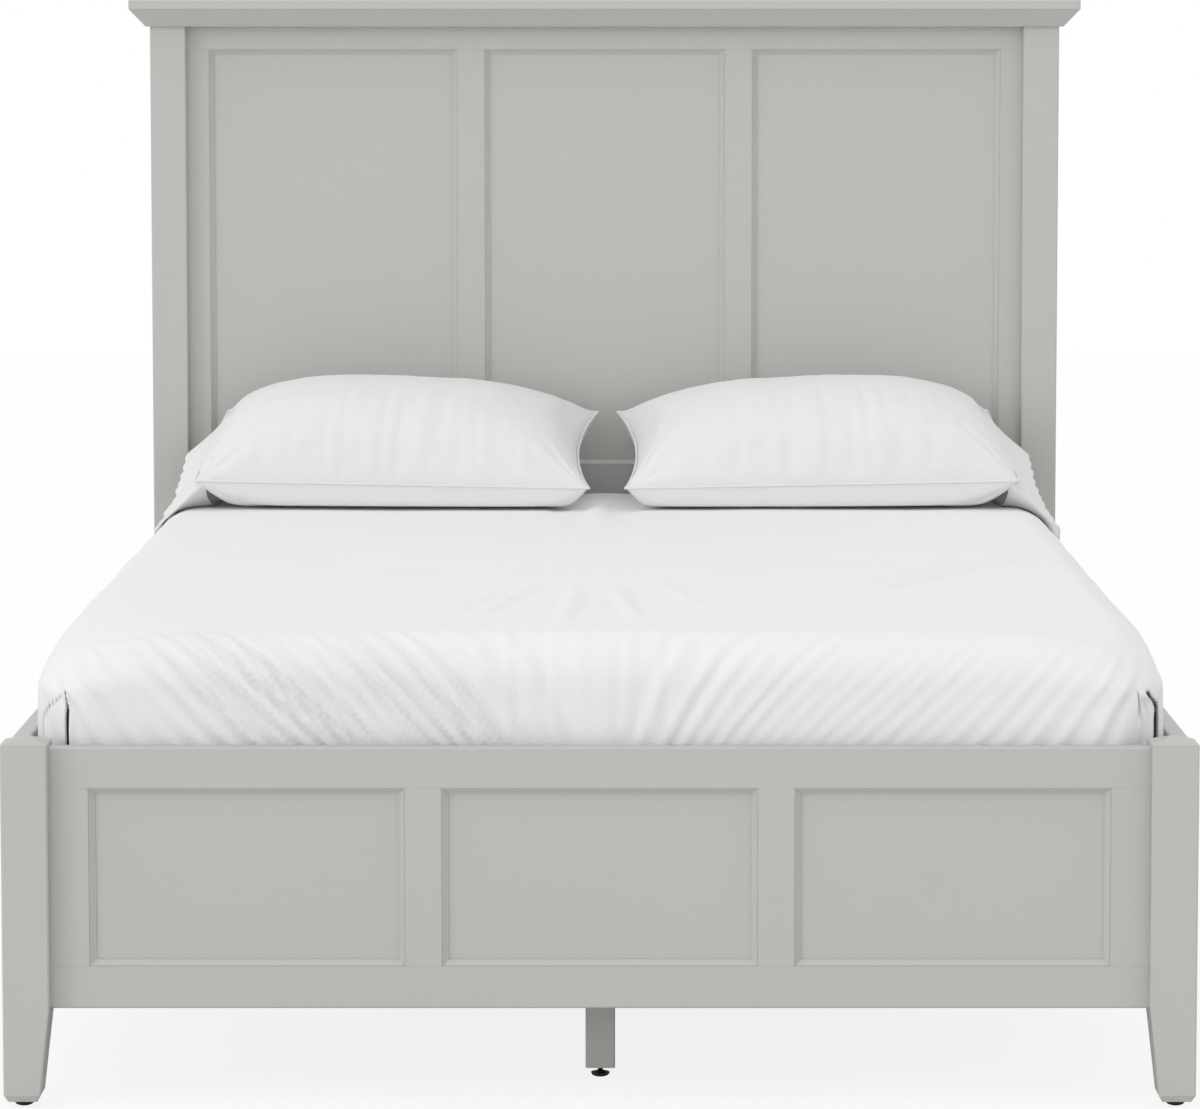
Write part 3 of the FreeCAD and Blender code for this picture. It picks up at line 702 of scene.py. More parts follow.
def turned(x, y, sides, radius, low, high, ease):
    """A prism round an upright axis, with both its rims eased."""
    rings = [(1 - ease / radius, low), (1, low + ease), (1, high - ease), (1 - ease / radius, high)]
    points = []
    for share, z in rings:
        for k in range(sides):
            a = 2 * pi * k / sides
            points.append((x + radius * share * cos(a), y + radius * share * sin(a), z))
    faces = wrapped(len(rings), sides)
    faces += [tuple(range(sides))[::-1], tuple(3 * sides + k for k in range(sides))]
    return shape("turned", points, faces, smooth=False)


def glide_thread(name, pitch, depth):
    """A glide's stem: pivot, spanner collar and a cut thread up to its chamfered end."""
    low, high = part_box("glide_stem_" + name)
    x, y = (low.x + high.x) / 2, (low.y + high.y) / 2
    collar_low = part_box("glide_pad_" + name)[1].z
    collar_high = collar_low + COLLAR_HEIGHT
    sides, rows_a_turn = 28, 8
    points = []
    rows = int(round((high.z - collar_high) / pitch * rows_a_turn))
    for row in range(rows + 1):
        z = collar_high + (high.z - collar_high) * row / rows
        end = min(1.0, (high.z - z) / CHAMFER_RISE) * CHAMFER_DEPTH + THREAD_END
        for k in range(sides):
            a = 2 * pi * k / sides
            phase = ((z - collar_high) / pitch + k / sides) % 1.0
            cut = depth * (1 - abs(2 * phase - 1)) ** 0.9
            r = min(THREAD_RADIUS - cut, end)
            points.append((x + r * cos(a), y + r * sin(a), z))
    faces = wrapped(rows + 1, sides)
    faces += [tuple(range(sides))[::-1], tuple(rows * sides + k for k in range(sides))]
    thread = shape("rod", points, faces, smooth=False)
    collar = turned(x, y, 6, (high.x - low.x) / 2, collar_low, collar_high, COLLAR_EASE)
    pivot = turned(x, y, 24, PIVOT_RADIUS, low.z, collar_low, PIVOT_EASE)
    return [thread, collar, pivot]


def slat_middles():
    """Where the middle of each slat lies along the bed, from the slats' own mesh."""
    edges = sorted({round(float(v.co.y), 3) for v in frame["nodes"]["slats"].data.vertices})
    near = []
    for y in edges:
        if not near or y > near[-1] + SLAT_WIDTH:
            near.append(y)
    return [y + SLAT_WIDTH / 2 for y in near]


class FitHardware(bpy.types.Operator):
    """Fits the glides' threaded stems, the screws and the plates' finish"""

    bl_idname = "bed.fit_hardware"
    bl_label = "Fit the hardware"

    def execute(self, context):
        sizes = settings_of(context).hardware
        plate, black, nylon = zinc(), black_oxide(), moulded_black()
        finishes = {"zinc_steel": plate, "black_plastic": nylon, "black_steel": black}
        for row in frame["record"]["subparts"]:
            finish = finishes.get(row["material_slot"])
            if finish:
                frame["nodes"][row["node"]].data.materials[0] = finish
        for name in GLIDES:
            made = merged("threaded_stem_" + name, glide_thread(name, sizes.pitch, sizes.thread_depth))
            made.data.materials.clear()
            made.data.materials.append(black)
            outward(made)
            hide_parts("glide_stem_" + name)
            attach(made, "stem_" + name)
        tree, head = screw_tree(), screw_head(sizes.screw_head)
        cleat = cleats_high.x - CLEAT_WIDTH / 2
        points = [(side * cleat, y, slat_top) for y in slat_middles() for side in (LEFT, RIGHT)]
        made = [screws("slat_screws", tree, points, (0, 0, 0), head, plate)]
        inner, middle = cleats_high.x - CLEAT_WIDTH, (cleats_low.z + cleats_high.z) / 2
        for name, side in SIDES.items():
            points = [(side * inner, y, middle) for y in CLEAT_SCREWS]
            made.append(screws("cleat_screws_" + name, tree, points, (0, -side * pi / 2, 0), head, plate))
        for heads in made:
            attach(heads, "frame")
        bpy.data.objects.remove(head)
        return {"FINISHED"}


# ---------------------------------------------------------------- bedding


# The mattress: how far its body and its tapes stay inside its solid, its border's and its top's
# quilting, and how far, how wide and up to where it gives way at a fold of the sheet
BODY_INSET, TAPE_INSET = 0.004, 0.003
QUILT, DIAMOND = 0.11, 0.13
GIVE, GIVE_REACH, GIVE_TOP = 0.9, 0.004, (0.575, 0.6)
# Radii of the sheet's upright corners and top edge
SHEET_CORNER, SHEET_EDGE = 0.0925, 0.0665


def mattress_plan(inset):
    """The mattress's half width and both its ends, drawn in by an inset."""
    return mattress_high.x - inset, mattress_low.y + inset, mattress_high.y - inset


class MakeMattress(bpy.types.Operator):
    """Makes the mattress with its taped edges and quilted border"""

    bl_idname = "bed.make_mattress"
    bl_label = "Make the mattress"

    def execute(self, context):
        sizes = settings_of(context).bedding
        low, high = mattress_low.z, mattress_high.z - BODY_INSET
        rows = [
            (0.012, low, 0.0, -1.0, 0.3),
            (0.004, low + 0.002, 0.7, -0.7, 0.29),
            (0.0, low + 0.01, 1.0, 0.0, 0.28),
        ]
        rows += side_profile(low + 0.014, high, sizes.edge, 30, 12)
        block = Block(*mattress_plan(BODY_INSET), sizes.corner, rows, (90, 120), 28, True)
        x, y, z = block.place.T
        side = 1 - np.abs(block.normal[:, 2])
        top = np.clip(block.normal[:, 2], 0, 1)
        across = block.along_wall() * pi / QUILT
        quilt = np.abs(np.sin(across + z * 18) * np.sin(across - z * 18)) ** 0.5
        diamonds = np.abs(np.sin((x + y) * pi / DIAMOND) * np.sin((x - y) * pi / DIAMOND)) ** 0.4
        lift = side * (quilt - 1) * 0.003 + top * (diamonds - 1) * 0.004
        for sx, sy, turn, depth, wide, *_ in TUCKS:
            here, arc = round_corner(block, sx, sy, turn)
            dent = np.exp(-((arc / (wide + GIVE_REACH)) ** 2)) * (1 - smooth_step(z, *GIVE_TOP))
            lift = lift - np.where(here, GIVE * depth * dent, 0)
        share = np.where(top > 0.9, 1, np.clip(block.run / 0.02, 0, 1))
        place = slumped(block.place + block.normal * (lift * share)[:, None])
        made = shape("mattress_body", place, block.faces, block.flat)
        # Near-black ticking: painted shade where it shows through the slits of the corner tucks.
        made.data.materials.append(woven("ticking", sizes.ticking, 0.0016, 0.0003, 0.3, 0.08))
        tapes = [self.tape(height, sizes.corner) for height in (low + 0.006, high - sizes.edge - 0.004)]
        whole = merged("mattress_body", [made] + tapes)
        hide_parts("mattress")
        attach(whole, "mattress")
        return {"FINISHED"}

    def tape(self, height, corner):
        """A rounded tape round the mattress at a height."""
        half, y0, y1 = mattress_plan(TAPE_INSET)
        middles = (
            (half - corner, y1 - corner),
            (-half + corner, y1 - corner),
            (-half + corner, y0 + corner),
            (half - corner, y0 + corner),
        )
        loop = []
        for quarter, (cx, cy) in enumerate(middles):
            for k in range(13):
                a = pi / 2 * (quarter + k / 12)
                loop.append((cx, cy, cos(a), sin(a)))
        sides, points, flat = 10, [], []
        for n, (cx, cy, dx, dy) in enumerate(loop):
            for m in range(sides):
                a = 2 * pi * m / sides
                r = corner - 0.0035 + 0.0032 * cos(a)
                points.append((cx + dx * r, cy + dy * r, height + 0.006 * sin(a)))
                flat.append((n * 0.1, m * 0.002))
        return shape("tape", points, looped(len(loop), sides), flat)


# Soft creases on top of the sheet: both ends in plan, width and height
CREASES = (
    (0.70, -0.02, 0.40, -0.50, 0.018, 0.0036),
    (0.42, -0.46, 0.10, -0.72, 0.02, 0.0028),
    (-0.56, -0.64, -0.26, -0.53, 0.018, 0.0018),
    (-0.28, -0.55, 0.02, -0.50, 0.016, 0.0014),
    (-0.10, -0.40, -0.20, -0.86, 0.013, 0.0011),
    (-0.04, -0.44, -0.06, -0.90, 0.012, 0.0011),
    (0.02, -0.46, 0.06, -0.88, 0.013, 0.001),
    (0.08, -0.30, 0.19, -0.80, 0.012, 0.0005),
    (-0.13, -0.48, -0.33, -0.84, 0.014, 0.001),
    (0.30, -0.10, 0.62, 0.05, 0.02, 0.0015),
    (-0.60, 0.10, -0.30, -0.02, 0.022, 0.0015),
    (-0.45, -0.20, -0.05, -0.10, 0.02, 0.0012),
    (-0.01, 0.50, 0.005, 0.98, 0.024, 0.0024),
    (-0.06, 0.60, -0.02, 0.98, 0.016, 0.0014),
)
# How high the creases stand, and how far the sheet may sink between them
CREASE_HEIGHT, SHEET_SINK = 3.0, -0.0026


def tension_folds(x, down):
    """Folds down the front, which lean in from both corners and are stronger on the left."""
    origin = x + 0.012 * waves(np.c_[x, down * 0.6, 0 * x], 3.0, 3)
    for _ in range(12):
        size = np.clip(np.abs(origin), 0, 0.79)
        lean = np.sin(pi * size / 0.8) ** 0.9 + 0.1
        origin = origin + np.sign(origin) * lean * np.maximum(down + 0.03, 0) / 12
    size = np.abs(origin)
    phase = 2 * pi * (2 * size + 33 * size**2)
    reach = 0.78 + 0.7 * waves(np.c_[origin * 1.4, down * 0.1, 0 * x], 8.0, 4) + 0.25 * size
    strength = smooth_step(down, -0.05 - 0.05 * size, 0.12) * np.clip(reach, 0.15, 1.3)
    share = np.where(x < 0, 1.7, 1.0) * (0.95 - 0.45 * np.minimum(size, 0.85))
    fold = (0.5 + 0.5 * np.sin(phase)) ** 1.5 - 0.42
    fine = np.sin(phase * 1.73 + 1.3) * 0.2
    return strength * share * (fold + fine)


def middle_pleats(x, down):
    """Upright pleats at the middle of the front."""
    s = x + 0.12 * x * down + 0.01 * waves(np.c_[x, down, 0 * x], 5.0, 7)
    pleat = np.sin(2 * pi * s / 0.036) + 0.5 * np.sin(2 * pi * s / 0.0217 + 2)
    middle = np.exp(-(((x - 0.02) / 0.2) ** 2)) * smooth_step(down, -0.12, 0.1)
    return 0.0013 * middle * pleat * (0.7 + waves(np.c_[s * 2, down * 0.3, 0 * x], 6.0, 8))


def side_folds(block):
    """Gentler upright folds down the other three sides."""
    along = block.along_wall()
    s = along + 0.25 * np.sin(along * 4) * block.run + 0.02 * waves(block.place, 3.0, 5)
    fold = np.sin(2 * pi * s / 0.055) * (0.6 + 0.5 * waves(block.place, 6.0, 6))
    return 0.0022 * smooth_step(block.run, 0.02, 0.2) * fold


def top_creases(x, y):
    """Soft creases on top."""
    height = np.zeros_like(x)
    for x0, y0, x1, y1, wide, tall in CREASES:
        dx, dy = x1 - x0, y1 - y0
        t = np.clip(((x - x0) * dx + (y - y0) * dy) / (dx * dx + dy * dy), 0, 1)
        bend = 0.02 * np.sin(pi * t) * np.sin(7 * (x0 + y1))
        off = np.hypot(x - x0 - t * dx + bend, y - y0 - t * dy)
        ends = np.sin(pi * np.clip(t, 0.02, 0.98)) ** 0.6
        ridge = np.exp(-((off / wide) ** 2)) - 0.6 * np.exp(-(((off - 1.6 * wide) / wide) ** 2))
        height += CREASE_HEIGHT * tall * ends * ridge
    return height


class MakeSheet(bpy.types.Operator):
    """Draws a sheet down over the mattress, with its tension folds and corner tucks"""

    bl_idname = "bed.make_sheet"
    bl_label = "Make the sheet"

    def execute(self, context):
        sizes = settings_of(context).bedding
        gap = sheet_high.x - mattress_high.x
        low, high = sheet_low.z, sheet_high.z
        edge, corner = sizes.edge + gap, sizes.corner + gap
        rows = [
            (0.0018, low + 0.03, -1.0, 0.0, 0.31),
            (0.0016, low + 0.006, -1.0, 0.0, 0.3),
            (0.0008, low, 0.0, -1.0, 0.29),
        ]
        rows += side_profile(low + 0.003, high, edge, 21, 14)
        block = Block(sheet_high.x, sheet_low.y, sheet_high.y, corner, rows, (200, 104), 60, False)
        stand = self.lift(block, sizes)[:, None]
        place = slumped(block.place + block.normal * stand + tucked(block))
        made = shape("fitted_sheet", place, block.faces, block.flat)
        made.data.materials.append(woven("bed_linen", sizes.linen, sizes.thread, 0.00006, 0.25, 0.012))
        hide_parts("sheet")
        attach(made, "mattress")
        return {"FINISHED"}

    def lift(self, block, sizes):
        """How far each point stands off the drawn sheet."""
        place, run = block.place, block.run
        x, y = place[:, 0], place[:, 1]
        front = sheet_low.y + sizes.edge
        top = block.normal[:, 2] > 0.999
        facing = np.clip(-block.plan[:, 1], 0, 1) ** 1.5
        down = np.where(top, -(y - front), run)
        weight = np.where(top, 1.0, facing) * np.where(top & (y > front + 0.5), 0, 1)
        height = 0.0016 * waves(place, 3.1, 1) + 0.0009 * waves(place, 9.0, 2)
        height += weight * sizes.wrinkle * tension_folds(x, down)
        height += weight * middle_pleats(x, down)
        height += np.where(top, 0.0, 1 - facing) * side_folds(block)
        near_top = top | (run < 0.05)
        height += np.where(near_top, top_creases(x, y), 0)
        return np.where(near_top, np.maximum(height, SHEET_SINK), height)


# Corner tucks: side, end, angle round the corner, depth, width, sideways curl, both heights and
# the side that its lip is on
TUCKS = (
    (-1, -1, 0.475, 0.022, 0.0030, -0.004, 0.3, 0.588, -1),
    (-1, -1, 0.95, 0.004, 0.008, 0.034, 0.3, 0.58, -1),
    (1, -1, 1.02, 0.030, 0.0108, 0.022, 0.3, 0.586, -1),
    (1, -1, 0.60, 0.006, 0.003, 0.002, 0.54, 0.588, -1),
    (1, -1, 0.72, 0.002, 0.008, 0.006, 0.3, 0.578, -1),
    (-1, 1, 0.8, 0.006, 0.004, 0.01, 0.3, 0.57, -1),
    (1, 1, 0.8, 0.006, 0.004, 0.01, 0.3, 0.57, -1),
)


def round_corner(block, sx, sy, turn):
    """Which points lie at a corner, and how far round it they are from an angle."""
    plan = block.plan
    here = (plan[:, 0] * sx > 0.02) & (plan[:, 1] * sy > 0.02)
    angle = np.arctan2(np.abs(plan[:, 0]), np.abs(plan[:, 1]))
    return here, (angle - turn) * SHEET_CORNER


def tucked(block):
    """The tucks at the corners: cloth folded inwards, with a lip beside each fold."""
    z = block.place[:, 2]
    shift = np.zeros_like(block.place)
    for sx, sy, turn, depth, wide, curl, low, high, lip in TUCKS:
        here, arc = round_corner(block, sx, sy, turn)
        arc = arc + curl * smooth_step(z, high - 0.045, high)
        span = (1 - smooth_step(z, high - 0.008, high + 0.004)) * smooth_step(z, low - 0.01, low)
        wide = wide * (1.1 - 0.65 * smooth_step(z, high - 0.06, high - 0.02))
        groove = 1 - smooth_step(np.abs(arc), wide * 0.7, wide * 1.2)
        raised = 0.14 * depth * np.exp(-(((arc - lip * 1.9 * wide) / (1.3 * wide)) ** 2))
        shift[:, 1] -= sy * np.where(here, span * depth * groove, 0)
        shift += block.normal * np.where(here, span * raised, 0)[:, None]
    return shift


# Where a pillow's four corners lie: x out from the bed's middle, y and z
PILLOW = {
    "front_inner": (0.026, 0.668, 0.690),
    "front_outer": (0.7166, 0.670, 0.703),
    "back_inner": (0.0115, 1.002, 0.797),
    "back_outer": (0.684, 1.0, 0.80),
}
CELLS = (88, 50)  # a case's cells along and across
SEAM = 0.0021  # radius of its rolled seam
SETTLE = 0.008  # furthest that the filling moves the cloth
# The corners of the case's open hem, and where its under layer meets the sheet
HEM_BACK, HEM_FRONT = np.array((0.758, 0.972, 0.722)), np.array((0.791, 0.70, 0.612))
SHEET_START, SHEET_END = np.array((0.692, 0.742)), np.array((0.787, 0.703))
HEM_REST = 0.002  # the hem over the sheet
PILLOW_TILT = 0.3181  # slope of a pillow's middle, in radians
# How much further out the right pillow lies
PILLOW_SHIFT = {LEFT: 0.0, RIGHT: 0.011}


def swell(u, v):
    """Share of a pillow's thickness at a place, from its inner end and its front edge."""
    lengthwise = (1 - np.abs(2 * u - 1) ** 2.8) ** 0.58 * (0.99 + 0.2 * (u - 0.5))
    return lengthwise * (1 - np.abs(2 * v - 1) ** 2.1) ** 0.6


def lie(u, v):
    """The sheet-like middle of a pillow at a place, on the right side of the bed."""
    corner = {k: np.array(p) for k, p in PILLOW.items()}
    u, v = np.asarray(u, float), np.asarray(v, float)
    front = corner["front_inner"] * (1 - u)[..., None] + corner["front_outer"] * u[..., None]
    back = corner["back_inner"] * (1 - u)[..., None] + corner["back_outer"] * u[..., None]
    base = front * (1 - v)[..., None] + back * v[..., None]
    base[..., 0] += 0.028 * (1 - u) ** 5 * np.sin(pi * np.clip(v, 0, 1)) ** 0.8
    return base


def cover(x):
    """Height of the sheet at a distance out from the bed's middle."""
    over = np.clip(x - (sheet_high.x - SHEET_EDGE), 0, SHEET_EDGE)
    level = sheet_high.z - SHEET_EDGE + np.sqrt(SHEET_EDGE**2 - over**2)
    return level - 0.003 * np.exp(-(((x - 0.78) / 0.06) ** 2))


def seated(place):
    """Flattens the underside where it lies on the sheet."""
    floor, soft = sheet_high.z + 0.001, 0.01
    over = place[:, 2] - floor
    place[:, 2] = floor + np.where(over > soft, over, soft * np.exp(np.minimum(over / soft - 1, 0)))
    return place


def settled(case, pressure, frames):
    """Lets the filling push the case out, as cloth under pressure. Gives its points back."""
    cloth = case.modifiers.new("filling", "CLOTH")
    how = cloth.settings
    how.quality = 5
    how.mass = 0.25
    how.tension_stiffness = 25
    how.compression_stiffness = 10
    how.shear_stiffness = 8
    how.bending_stiffness = 0.4
    how.tension_damping = 8
    how.use_pressure = True
    how.uniform_pressure_force = pressure
    how.effector_weights.gravity = 0
    cloth.collision_settings.use_collision = False
    cloth.collision_settings.use_self_collision = False
    cloth.point_cache.frame_start = 1
    cloth.point_cache.frame_end = frames
    scene = bpy.context.scene
    for step in range(1, frames + 1):
        scene.frame_set(step)
    applied(case)
    scene.frame_set(1)
    co = np.zeros(len(case.data.vertices) * 3)
    case.data.vertices.foreach_get("co", co)
    return co.reshape(-1, 3)


def closer_at_ends(count):
    """Shares from 0 to 1 that lie closer together at both ends."""
    even = np.linspace(0, 1, count + 1)
    return 0.45 * even + 0.55 * (0.5 - 0.5 * np.cos(pi * even))


def filled(name, side, sizes, frames):
    """A pillow in its case, crowned between its seams and settled, and the line its hem starts on."""
    nx, ny = CELLS
    points, flat, grid, at = [], [], [], {}
    up, down = np.array((0.0, -sin(PILLOW_TILT), cos(PILLOW_TILT))), np.array((0.0, -0.05, -1.0))
    for level in (0, 1):
        for j, v in enumerate(closer_at_ends(ny)):
            for i, u in enumerate(closer_at_ends(nx)):
                if level and (i in (0, nx) or j in (0, ny)):
                    at[level, i, j] = at[0, i, j]
                    continue
                way = up if level else down
                fill = ((1 - u**5.5) * (1 - (1 - u) ** 9)) ** 0.6 * (1 - abs(2 * v - 1) ** 2.1) ** 0.42
                rise = swell(u, v) * sizes.crown if level else fill * sizes.belly
                rough = noise.noise(Vector((u * 22, v * 12, side * 4 + level)))
                rise += 0.0014 * rough * min(1, swell(u, v) * 4)
                p = lie(u, v) + way * rise
                at[level, i, j] = len(points)
                points.append(((p[0] + PILLOW_SHIFT[side]) * side, p[1], p[2]))
                flat.append((u * 0.72 + level, v * 0.46))
                grid.append((u, v))
    faces = []
    for j in range(ny):
        for i in range(nx):
            for level in (0, 1):
                quad = [at[level, i, j], at[level, i + 1, j], at[level, i + 1, j + 1], at[level, i, j + 1]]
                faces.append(quad if (level == 1) == (side == RIGHT) else quad[::-1])
    start = seated(np.array(points))
    case = shape(name, start, faces, flat)
    moved = settled(case, sizes.pressure, frames) - start
    far = np.linalg.norm(moved, axis=1, keepdims=True)
    free = np.array([min(1.0, 2.5 * float(swell(u, v))) for u, v in grid])[:, None]
    place = seated(start + moved * np.minimum(1, SETTLE * free / np.maximum(far, 1e-9)))
    case.data.vertices.foreach_set("co", place.ravel())
    root = [place[at[1 if 0 < j < ny else 0, nx - 5, j]] for j in range(ny + 1)]
    return case, np.array(root)


def creased(case, side):
    """Fine creases: upright ones on the front and a fan out of each corner."""
    mesh = case.data
    co, normal = np.zeros(len(mesh.vertices) * 3), np.zeros(len(mesh.vertices) * 3)
    mesh.vertices.foreach_get("co", co)
    mesh.vertex_normals.foreach_get("vector", normal)
    co, normal = co.reshape(-1, 3), normal.reshape(-1, 3)
    x, y, z = co[:, 0] * side - PILLOW_SHIFT[side], co[:, 1], co[:, 2]
    crown = np.clip(normal[:, 2] * 1.4, 0, 1)
    long = np.c_[x * 46 + y * 6, y * 7, z * 0 + side * 2]
    facing = smooth_step(z, 0.7, 0.73) * (1 - smooth_step(y, 0.745, 0.82))
    lift = 0.0042 * facing * waves(long, 1.0, 11) * np.exp(-(((x - 0.37) / 0.19) ** 2))
    lift += 0.0016 * crown * waves(np.c_[x * 14, y * 9, z * 9], 1.0, 12)
    for corner in PILLOW.values():
        dx, dy = x - corner[0], (y - corner[1]) * 1.6
        r, a = np.hypot(dx, dy), np.arctan2(dy, dx)
        fan = np.sin(a * 17 + 2.5 * waves(np.c_[x * 8, y * 8, z * 8], 1.0, 13))
        lift += 0.0013 * fan * np.exp(-(((r - 0.06) / 0.06) ** 2))
    low = smooth_step(z, sheet_high.z + 0.002, sheet_high.z + 0.02)
    mesh.vertices.foreach_set("co", (co + normal * (lift * low)[:, None]).ravel())
    mesh.update()


def seam_cord(case):
    """A thin rolled seam round a case, from its merged edge."""
    nx, ny = CELLS
    loop = [(i, 0) for i in range(nx)] + [(nx, j) for j in range(ny)]
    loop += [(i, ny) for i in range(nx, 0, -1)] + [(0, j) for j in range(ny, 0, -1)]
    points = [case.data.vertices[j * (nx + 1) + i].co.copy() for i, j in loop]
    middle = sum(points, Vector()) / len(points)
    made, flat, sides = [], [], 8
    for k, p in enumerate(points):
        ahead = (points[(k + 1) % len(points)] - points[k - 1]).normalized()
        out = p - middle
        out = (out - ahead * out.dot(ahead)).normalized()
        up = ahead.cross(out)
        for m in range(sides):
            a = 2 * pi * m / sides
            made.append(p + out * (SEAM * cos(a) + SEAM * 0.2) + up * SEAM * sin(a))
            flat.append((k * 0.009, m * 0.001))
    return shape("cord", made, looped(len(points), sides), flat)


def open_end(name, side, start_line):
    """The empty end of a pillowcase: a sleeve that falls over the edge of the mattress."""
    rows, over, wall, under = 26, 60, 12, 40
    points, flat, sections = [], [], []
    line = start_line * np.array((side, 1, 1))
    moved = np.array((PILLOW_SHIFT[side], 0, 0))
    hem_back, hem_front = HEM_BACK + moved, HEM_FRONT + moved
    on_sheet, tip = SHEET_START + moved[:2], SHEET_END + moved[:2]
    for r in range(rows + 1):
        u = r / rows
        ease = u * u * (3 - 2 * u)
        back = line[-1] * (1 - u) + hem_back * u
        front = line[0] * (1 - u) + hem_front * u
        start = on_sheet * (1 - u) + tip * u
        section = []
        lean = np.array((0.75, 0.0, 0.65))
        for k in range(over + 1):
            s = k / over
            at = (1 - s) * (len(line) - 1)
            low = min(int(at), len(line) - 2)
            root = line[low] * (low + 1 - at) + line[low + 1] * (at - low)
            full = (root - line[-1] * (1 - s) - line[0] * s) * (1 - u) ** 1.25
            ripple = 0.0035 * noise.noise(Vector((s * 21, u * 1.5, side * 3))) + 0.0018 * sin(s * 60 + side)
            p = back * (1 - s) + front * s + full - lean * 0.011 * ease * sin(pi * s) ** 1.2
            p = p + lean * 0.0012 * min(1, 6 * u)
            section.append(p + lean * ripple * ease * min(1, 8 * s * (1 - s)))
        for k in range(1, wall + 1):
            s = k / wall
            foot = np.array((start[0], start[1], cover(start[0]) + HEM_REST))
            p = front * (1 - s) + foot * s
            section.append(p + np.array((0.004, -0.012, 0.0)) * sin(pi * s) * (1 - 0.7 * u))
        for k in range(1, under):
            s = k / under
            foot = np.array((start[0], start[1], 0)) * (1 - s) + back * s
            foot[2] = cover(foot[0]) + HEM_REST + (back[2] - cover(back[0])) * s**6
            section.append(foot)
        section = np.array(section)
        section[:, 2] = np.maximum(section[:, 2], cover(section[:, 0]) + HEM_REST)
        sections.append(section)
    for depth in (0.2, 1.0, 2.2, 3.4, 4.6):
        outer = sections[rows] + (sections[rows - 4] - sections[rows]) * depth / 4
        middle = outer.mean(axis=0)
        inward = middle - outer
        inward /= np.maximum(np.linalg.norm(inward, axis=1, keepdims=True), 1e-9)
        sections.append(outer + inward * 0.0016)
    for r, section in enumerate(sections):
        for k, p in enumerate(section):
            points.append((p[0] * side, p[1], p[2]))
            flat.append((k * 0.0075, r * 0.0048))
    faces = wrapped(len(sections), len(sections[0]))
    if side == LEFT:
        faces = [quad[::-1] for quad in faces]
    return shape("pillowcase_hem_" + name, points, faces, flat)


class MakePillows(bpy.types.Operator):
    """Fills two pillows, seats them on the sheet and drapes the open ends of their cases"""

    bl_idname = "bed.make_pillows"
    bl_label = "Make the pillows"

    def execute(self, context):
        sizes = settings_of(context).bedding
        # The pillowcases are the sheet's linen made 8 % darker: painted shade on the pillows.
        linen = woven("pillow_linen_painted_shade", dyed(sizes.linen, 0.92), sizes.thread, 0.00006, 0.25, 0.012)
        frames = sizes.frames
        for name, side in SIDES.items():
            case, root = filled("pillow_body_" + name, side, sizes, frames)
            cord = seam_cord(case)
            refine = case.modifiers.new("refine", "SUBSURF")
            refine.levels = refine.render_levels = 1
            applied(case)
            creased(case, side)
            outward(cord)
            for part in (case, cord):
                part.data.materials.append(linen)
            whole = merged("pillow_body_" + name, [case, cord])
            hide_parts("pillow_" + name)
            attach(whole, "pillow_" + name)
            hem = open_end(name, side, root)
            hem.data.materials.append(linen)
            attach(hem, "pillow_" + name)
        return {"FINISHED"}


# ---------------------------------------------------------------- stage


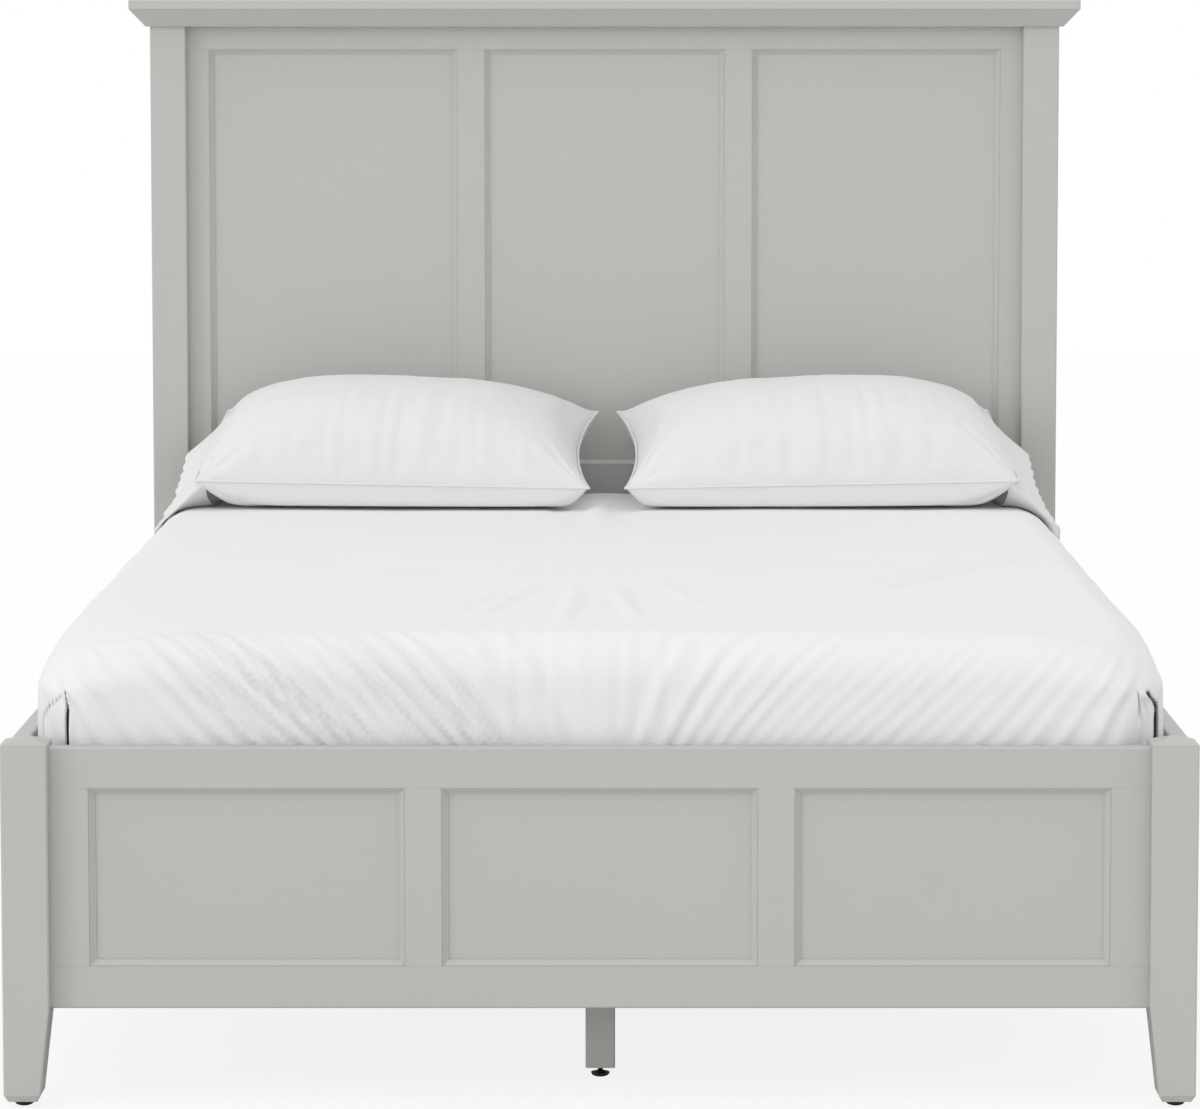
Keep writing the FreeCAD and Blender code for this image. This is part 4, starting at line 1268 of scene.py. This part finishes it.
class SetStage(bpy.types.Operator):
    """Lays the floor, hangs the lamps and sets the camera"""

    bl_idname = "bed.set_stage"
    bl_label = "Set the stage"

    def execute(self, context):
        scene = context.scene
        sizes = settings_of(context).stage
        scene.view_settings.view_transform = "Standard"
        half, level = 14.0, -0.0006
        corners = [(x * half, y * half, level) for x, y in ((-1, -1), (1, -1), (1, 1), (-1, 1))]
        floor = shape("floor", corners, [(0, 1, 2, 3)], smooth=False)
        floor.data.materials.append(self.floor_finish())
        world = bpy.data.worlds.new("studio")
        world.use_nodes = True
        scene.world = world
        tree = world.node_tree
        tree.nodes.clear()
        seen = add(tree, "ShaderNodeLightPath").outputs["Is Camera Ray"]
        lit = add(tree, "ShaderNodeBackground", {"Color": (1, 1, 1, 1), "Strength": sizes.world})
        shown = add(tree, "ShaderNodeBackground", {"Color": (1, 1, 1, 1), "Strength": 1.0})
        mix = add(tree, "ShaderNodeMixShader", {0: seen, 1: lit.outputs[0], 2: shown.outputs[0]})
        out = add(tree, "ShaderNodeOutputWorld")
        tree.links.new(mix.outputs[0], out.inputs[0])
        for name, height, turn, strength, width in (
            ("front", 5, -8, sizes.front, 26),
            ("above", 68, -24, sizes.above, 50),
            ("side", 12, -56, sizes.side, 24),
        ):
            lamp = bpy.data.lights.new(name, "SUN")
            lamp.energy = strength
            lamp.angle = radians(width)
            held = bpy.data.objects.new(name, lamp)
            scene.collection.objects.link(held)
            held.rotation_euler = (radians(90 - height), 0, radians(turn))
        camera = bpy.data.cameras.new("camera")
        camera.lens = sizes.lens
        camera.sensor_width = 36
        camera.shift_x, camera.shift_y = -0.0166, -0.1
        camera.clip_start, camera.clip_end = 0.1, 60
        held = bpy.data.objects.new("camera", camera)
        scene.collection.objects.link(held)
        held.location = sizes.camera
        held.rotation_euler = (pi / 2 - sizes.tilt, 0, 0)
        scene.camera = held
        return {"FINISHED"}

    def floor_finish(self):
        """White floor that stays white to the camera and keeps the bed's shadow."""
        made, tree, shader = finish_of("studio_floor", Base_Color=(0.74, 0.74, 0.74, 1), Roughness=0.9)
        place = add(tree, "ShaderNodeTexCoord").outputs["Object"]
        grain = speckle(tree, place, 40, 2)
        tree.links.new(bumped(tree, grain, 0.0002, 0.1), shader.inputs["Normal"])
        seen = add(tree, "ShaderNodeLightPath").outputs["Is Camera Ray"]
        glow = add(tree, "ShaderNodeEmission", {"Color": (1, 1, 1, 1), "Strength": 1.04})
        share = add(tree, "ShaderNodeMath", {0: seen, 1: 0.82}, operation="MULTIPLY").outputs[0]
        mix = add(tree, "ShaderNodeMixShader", {0: share, 1: shader.outputs[0], 2: glow.outputs[0]})
        tree.links.new(mix.outputs[0], tree.nodes["Material Output"].inputs[0])
        return made


# ---------------------------------------------------------------- add-on


class BedPanel(bpy.types.Panel):
    """Lists the bed's pieces and their sizes"""

    bl_idname = "VIEW3D_PT_bed"
    bl_label = "Panel bed"
    bl_space_type = "VIEW_3D"
    bl_region_type = "UI"
    bl_category = "Bed"

    def draw(self, context):
        for operator in OPERATORS:
            self.layout.operator(operator.bl_idname)
        for group in settings_of(context).bl_rna.properties:
            if group.type == "POINTER" and group.identifier != "rna_type":
                column = self.layout.column()
                values = getattr(settings_of(context), group.identifier)
                for value in values.bl_rna.properties:
                    if value.identifier not in ("rna_type", "name"):
                        column.prop(values, value.identifier)


OPERATORS = (PaintBed, FinishBase, FitHardware, MakeMattress, MakeSheet, MakePillows, SetStage)
GROUPS = (PaintSettings, TimberSettings, HardwareSettings, BeddingSettings, StageSettings, BedSettings)


def register():
    for cls in (*GROUPS, *OPERATORS, BedPanel):
        bpy.utils.register_class(cls)
    bpy.types.Scene.bed_settings = PointerProperty(type=BedSettings)


def unregister():
    del bpy.types.Scene.bed_settings
    for cls in (BedPanel, *reversed(OPERATORS), *reversed(GROUPS)):
        bpy.utils.unregister_class(cls)


def main():
    register()
    bpy.ops.bed.set_stage()
    bpy.ops.bed.paint_frame()
    bpy.ops.bed.finish_base()
    bpy.ops.bed.fit_hardware()
    bpy.ops.bed.make_mattress()
    bpy.ops.bed.make_sheet()
    bpy.ops.bed.make_pillows()


if __name__ == "__main__":
    main()
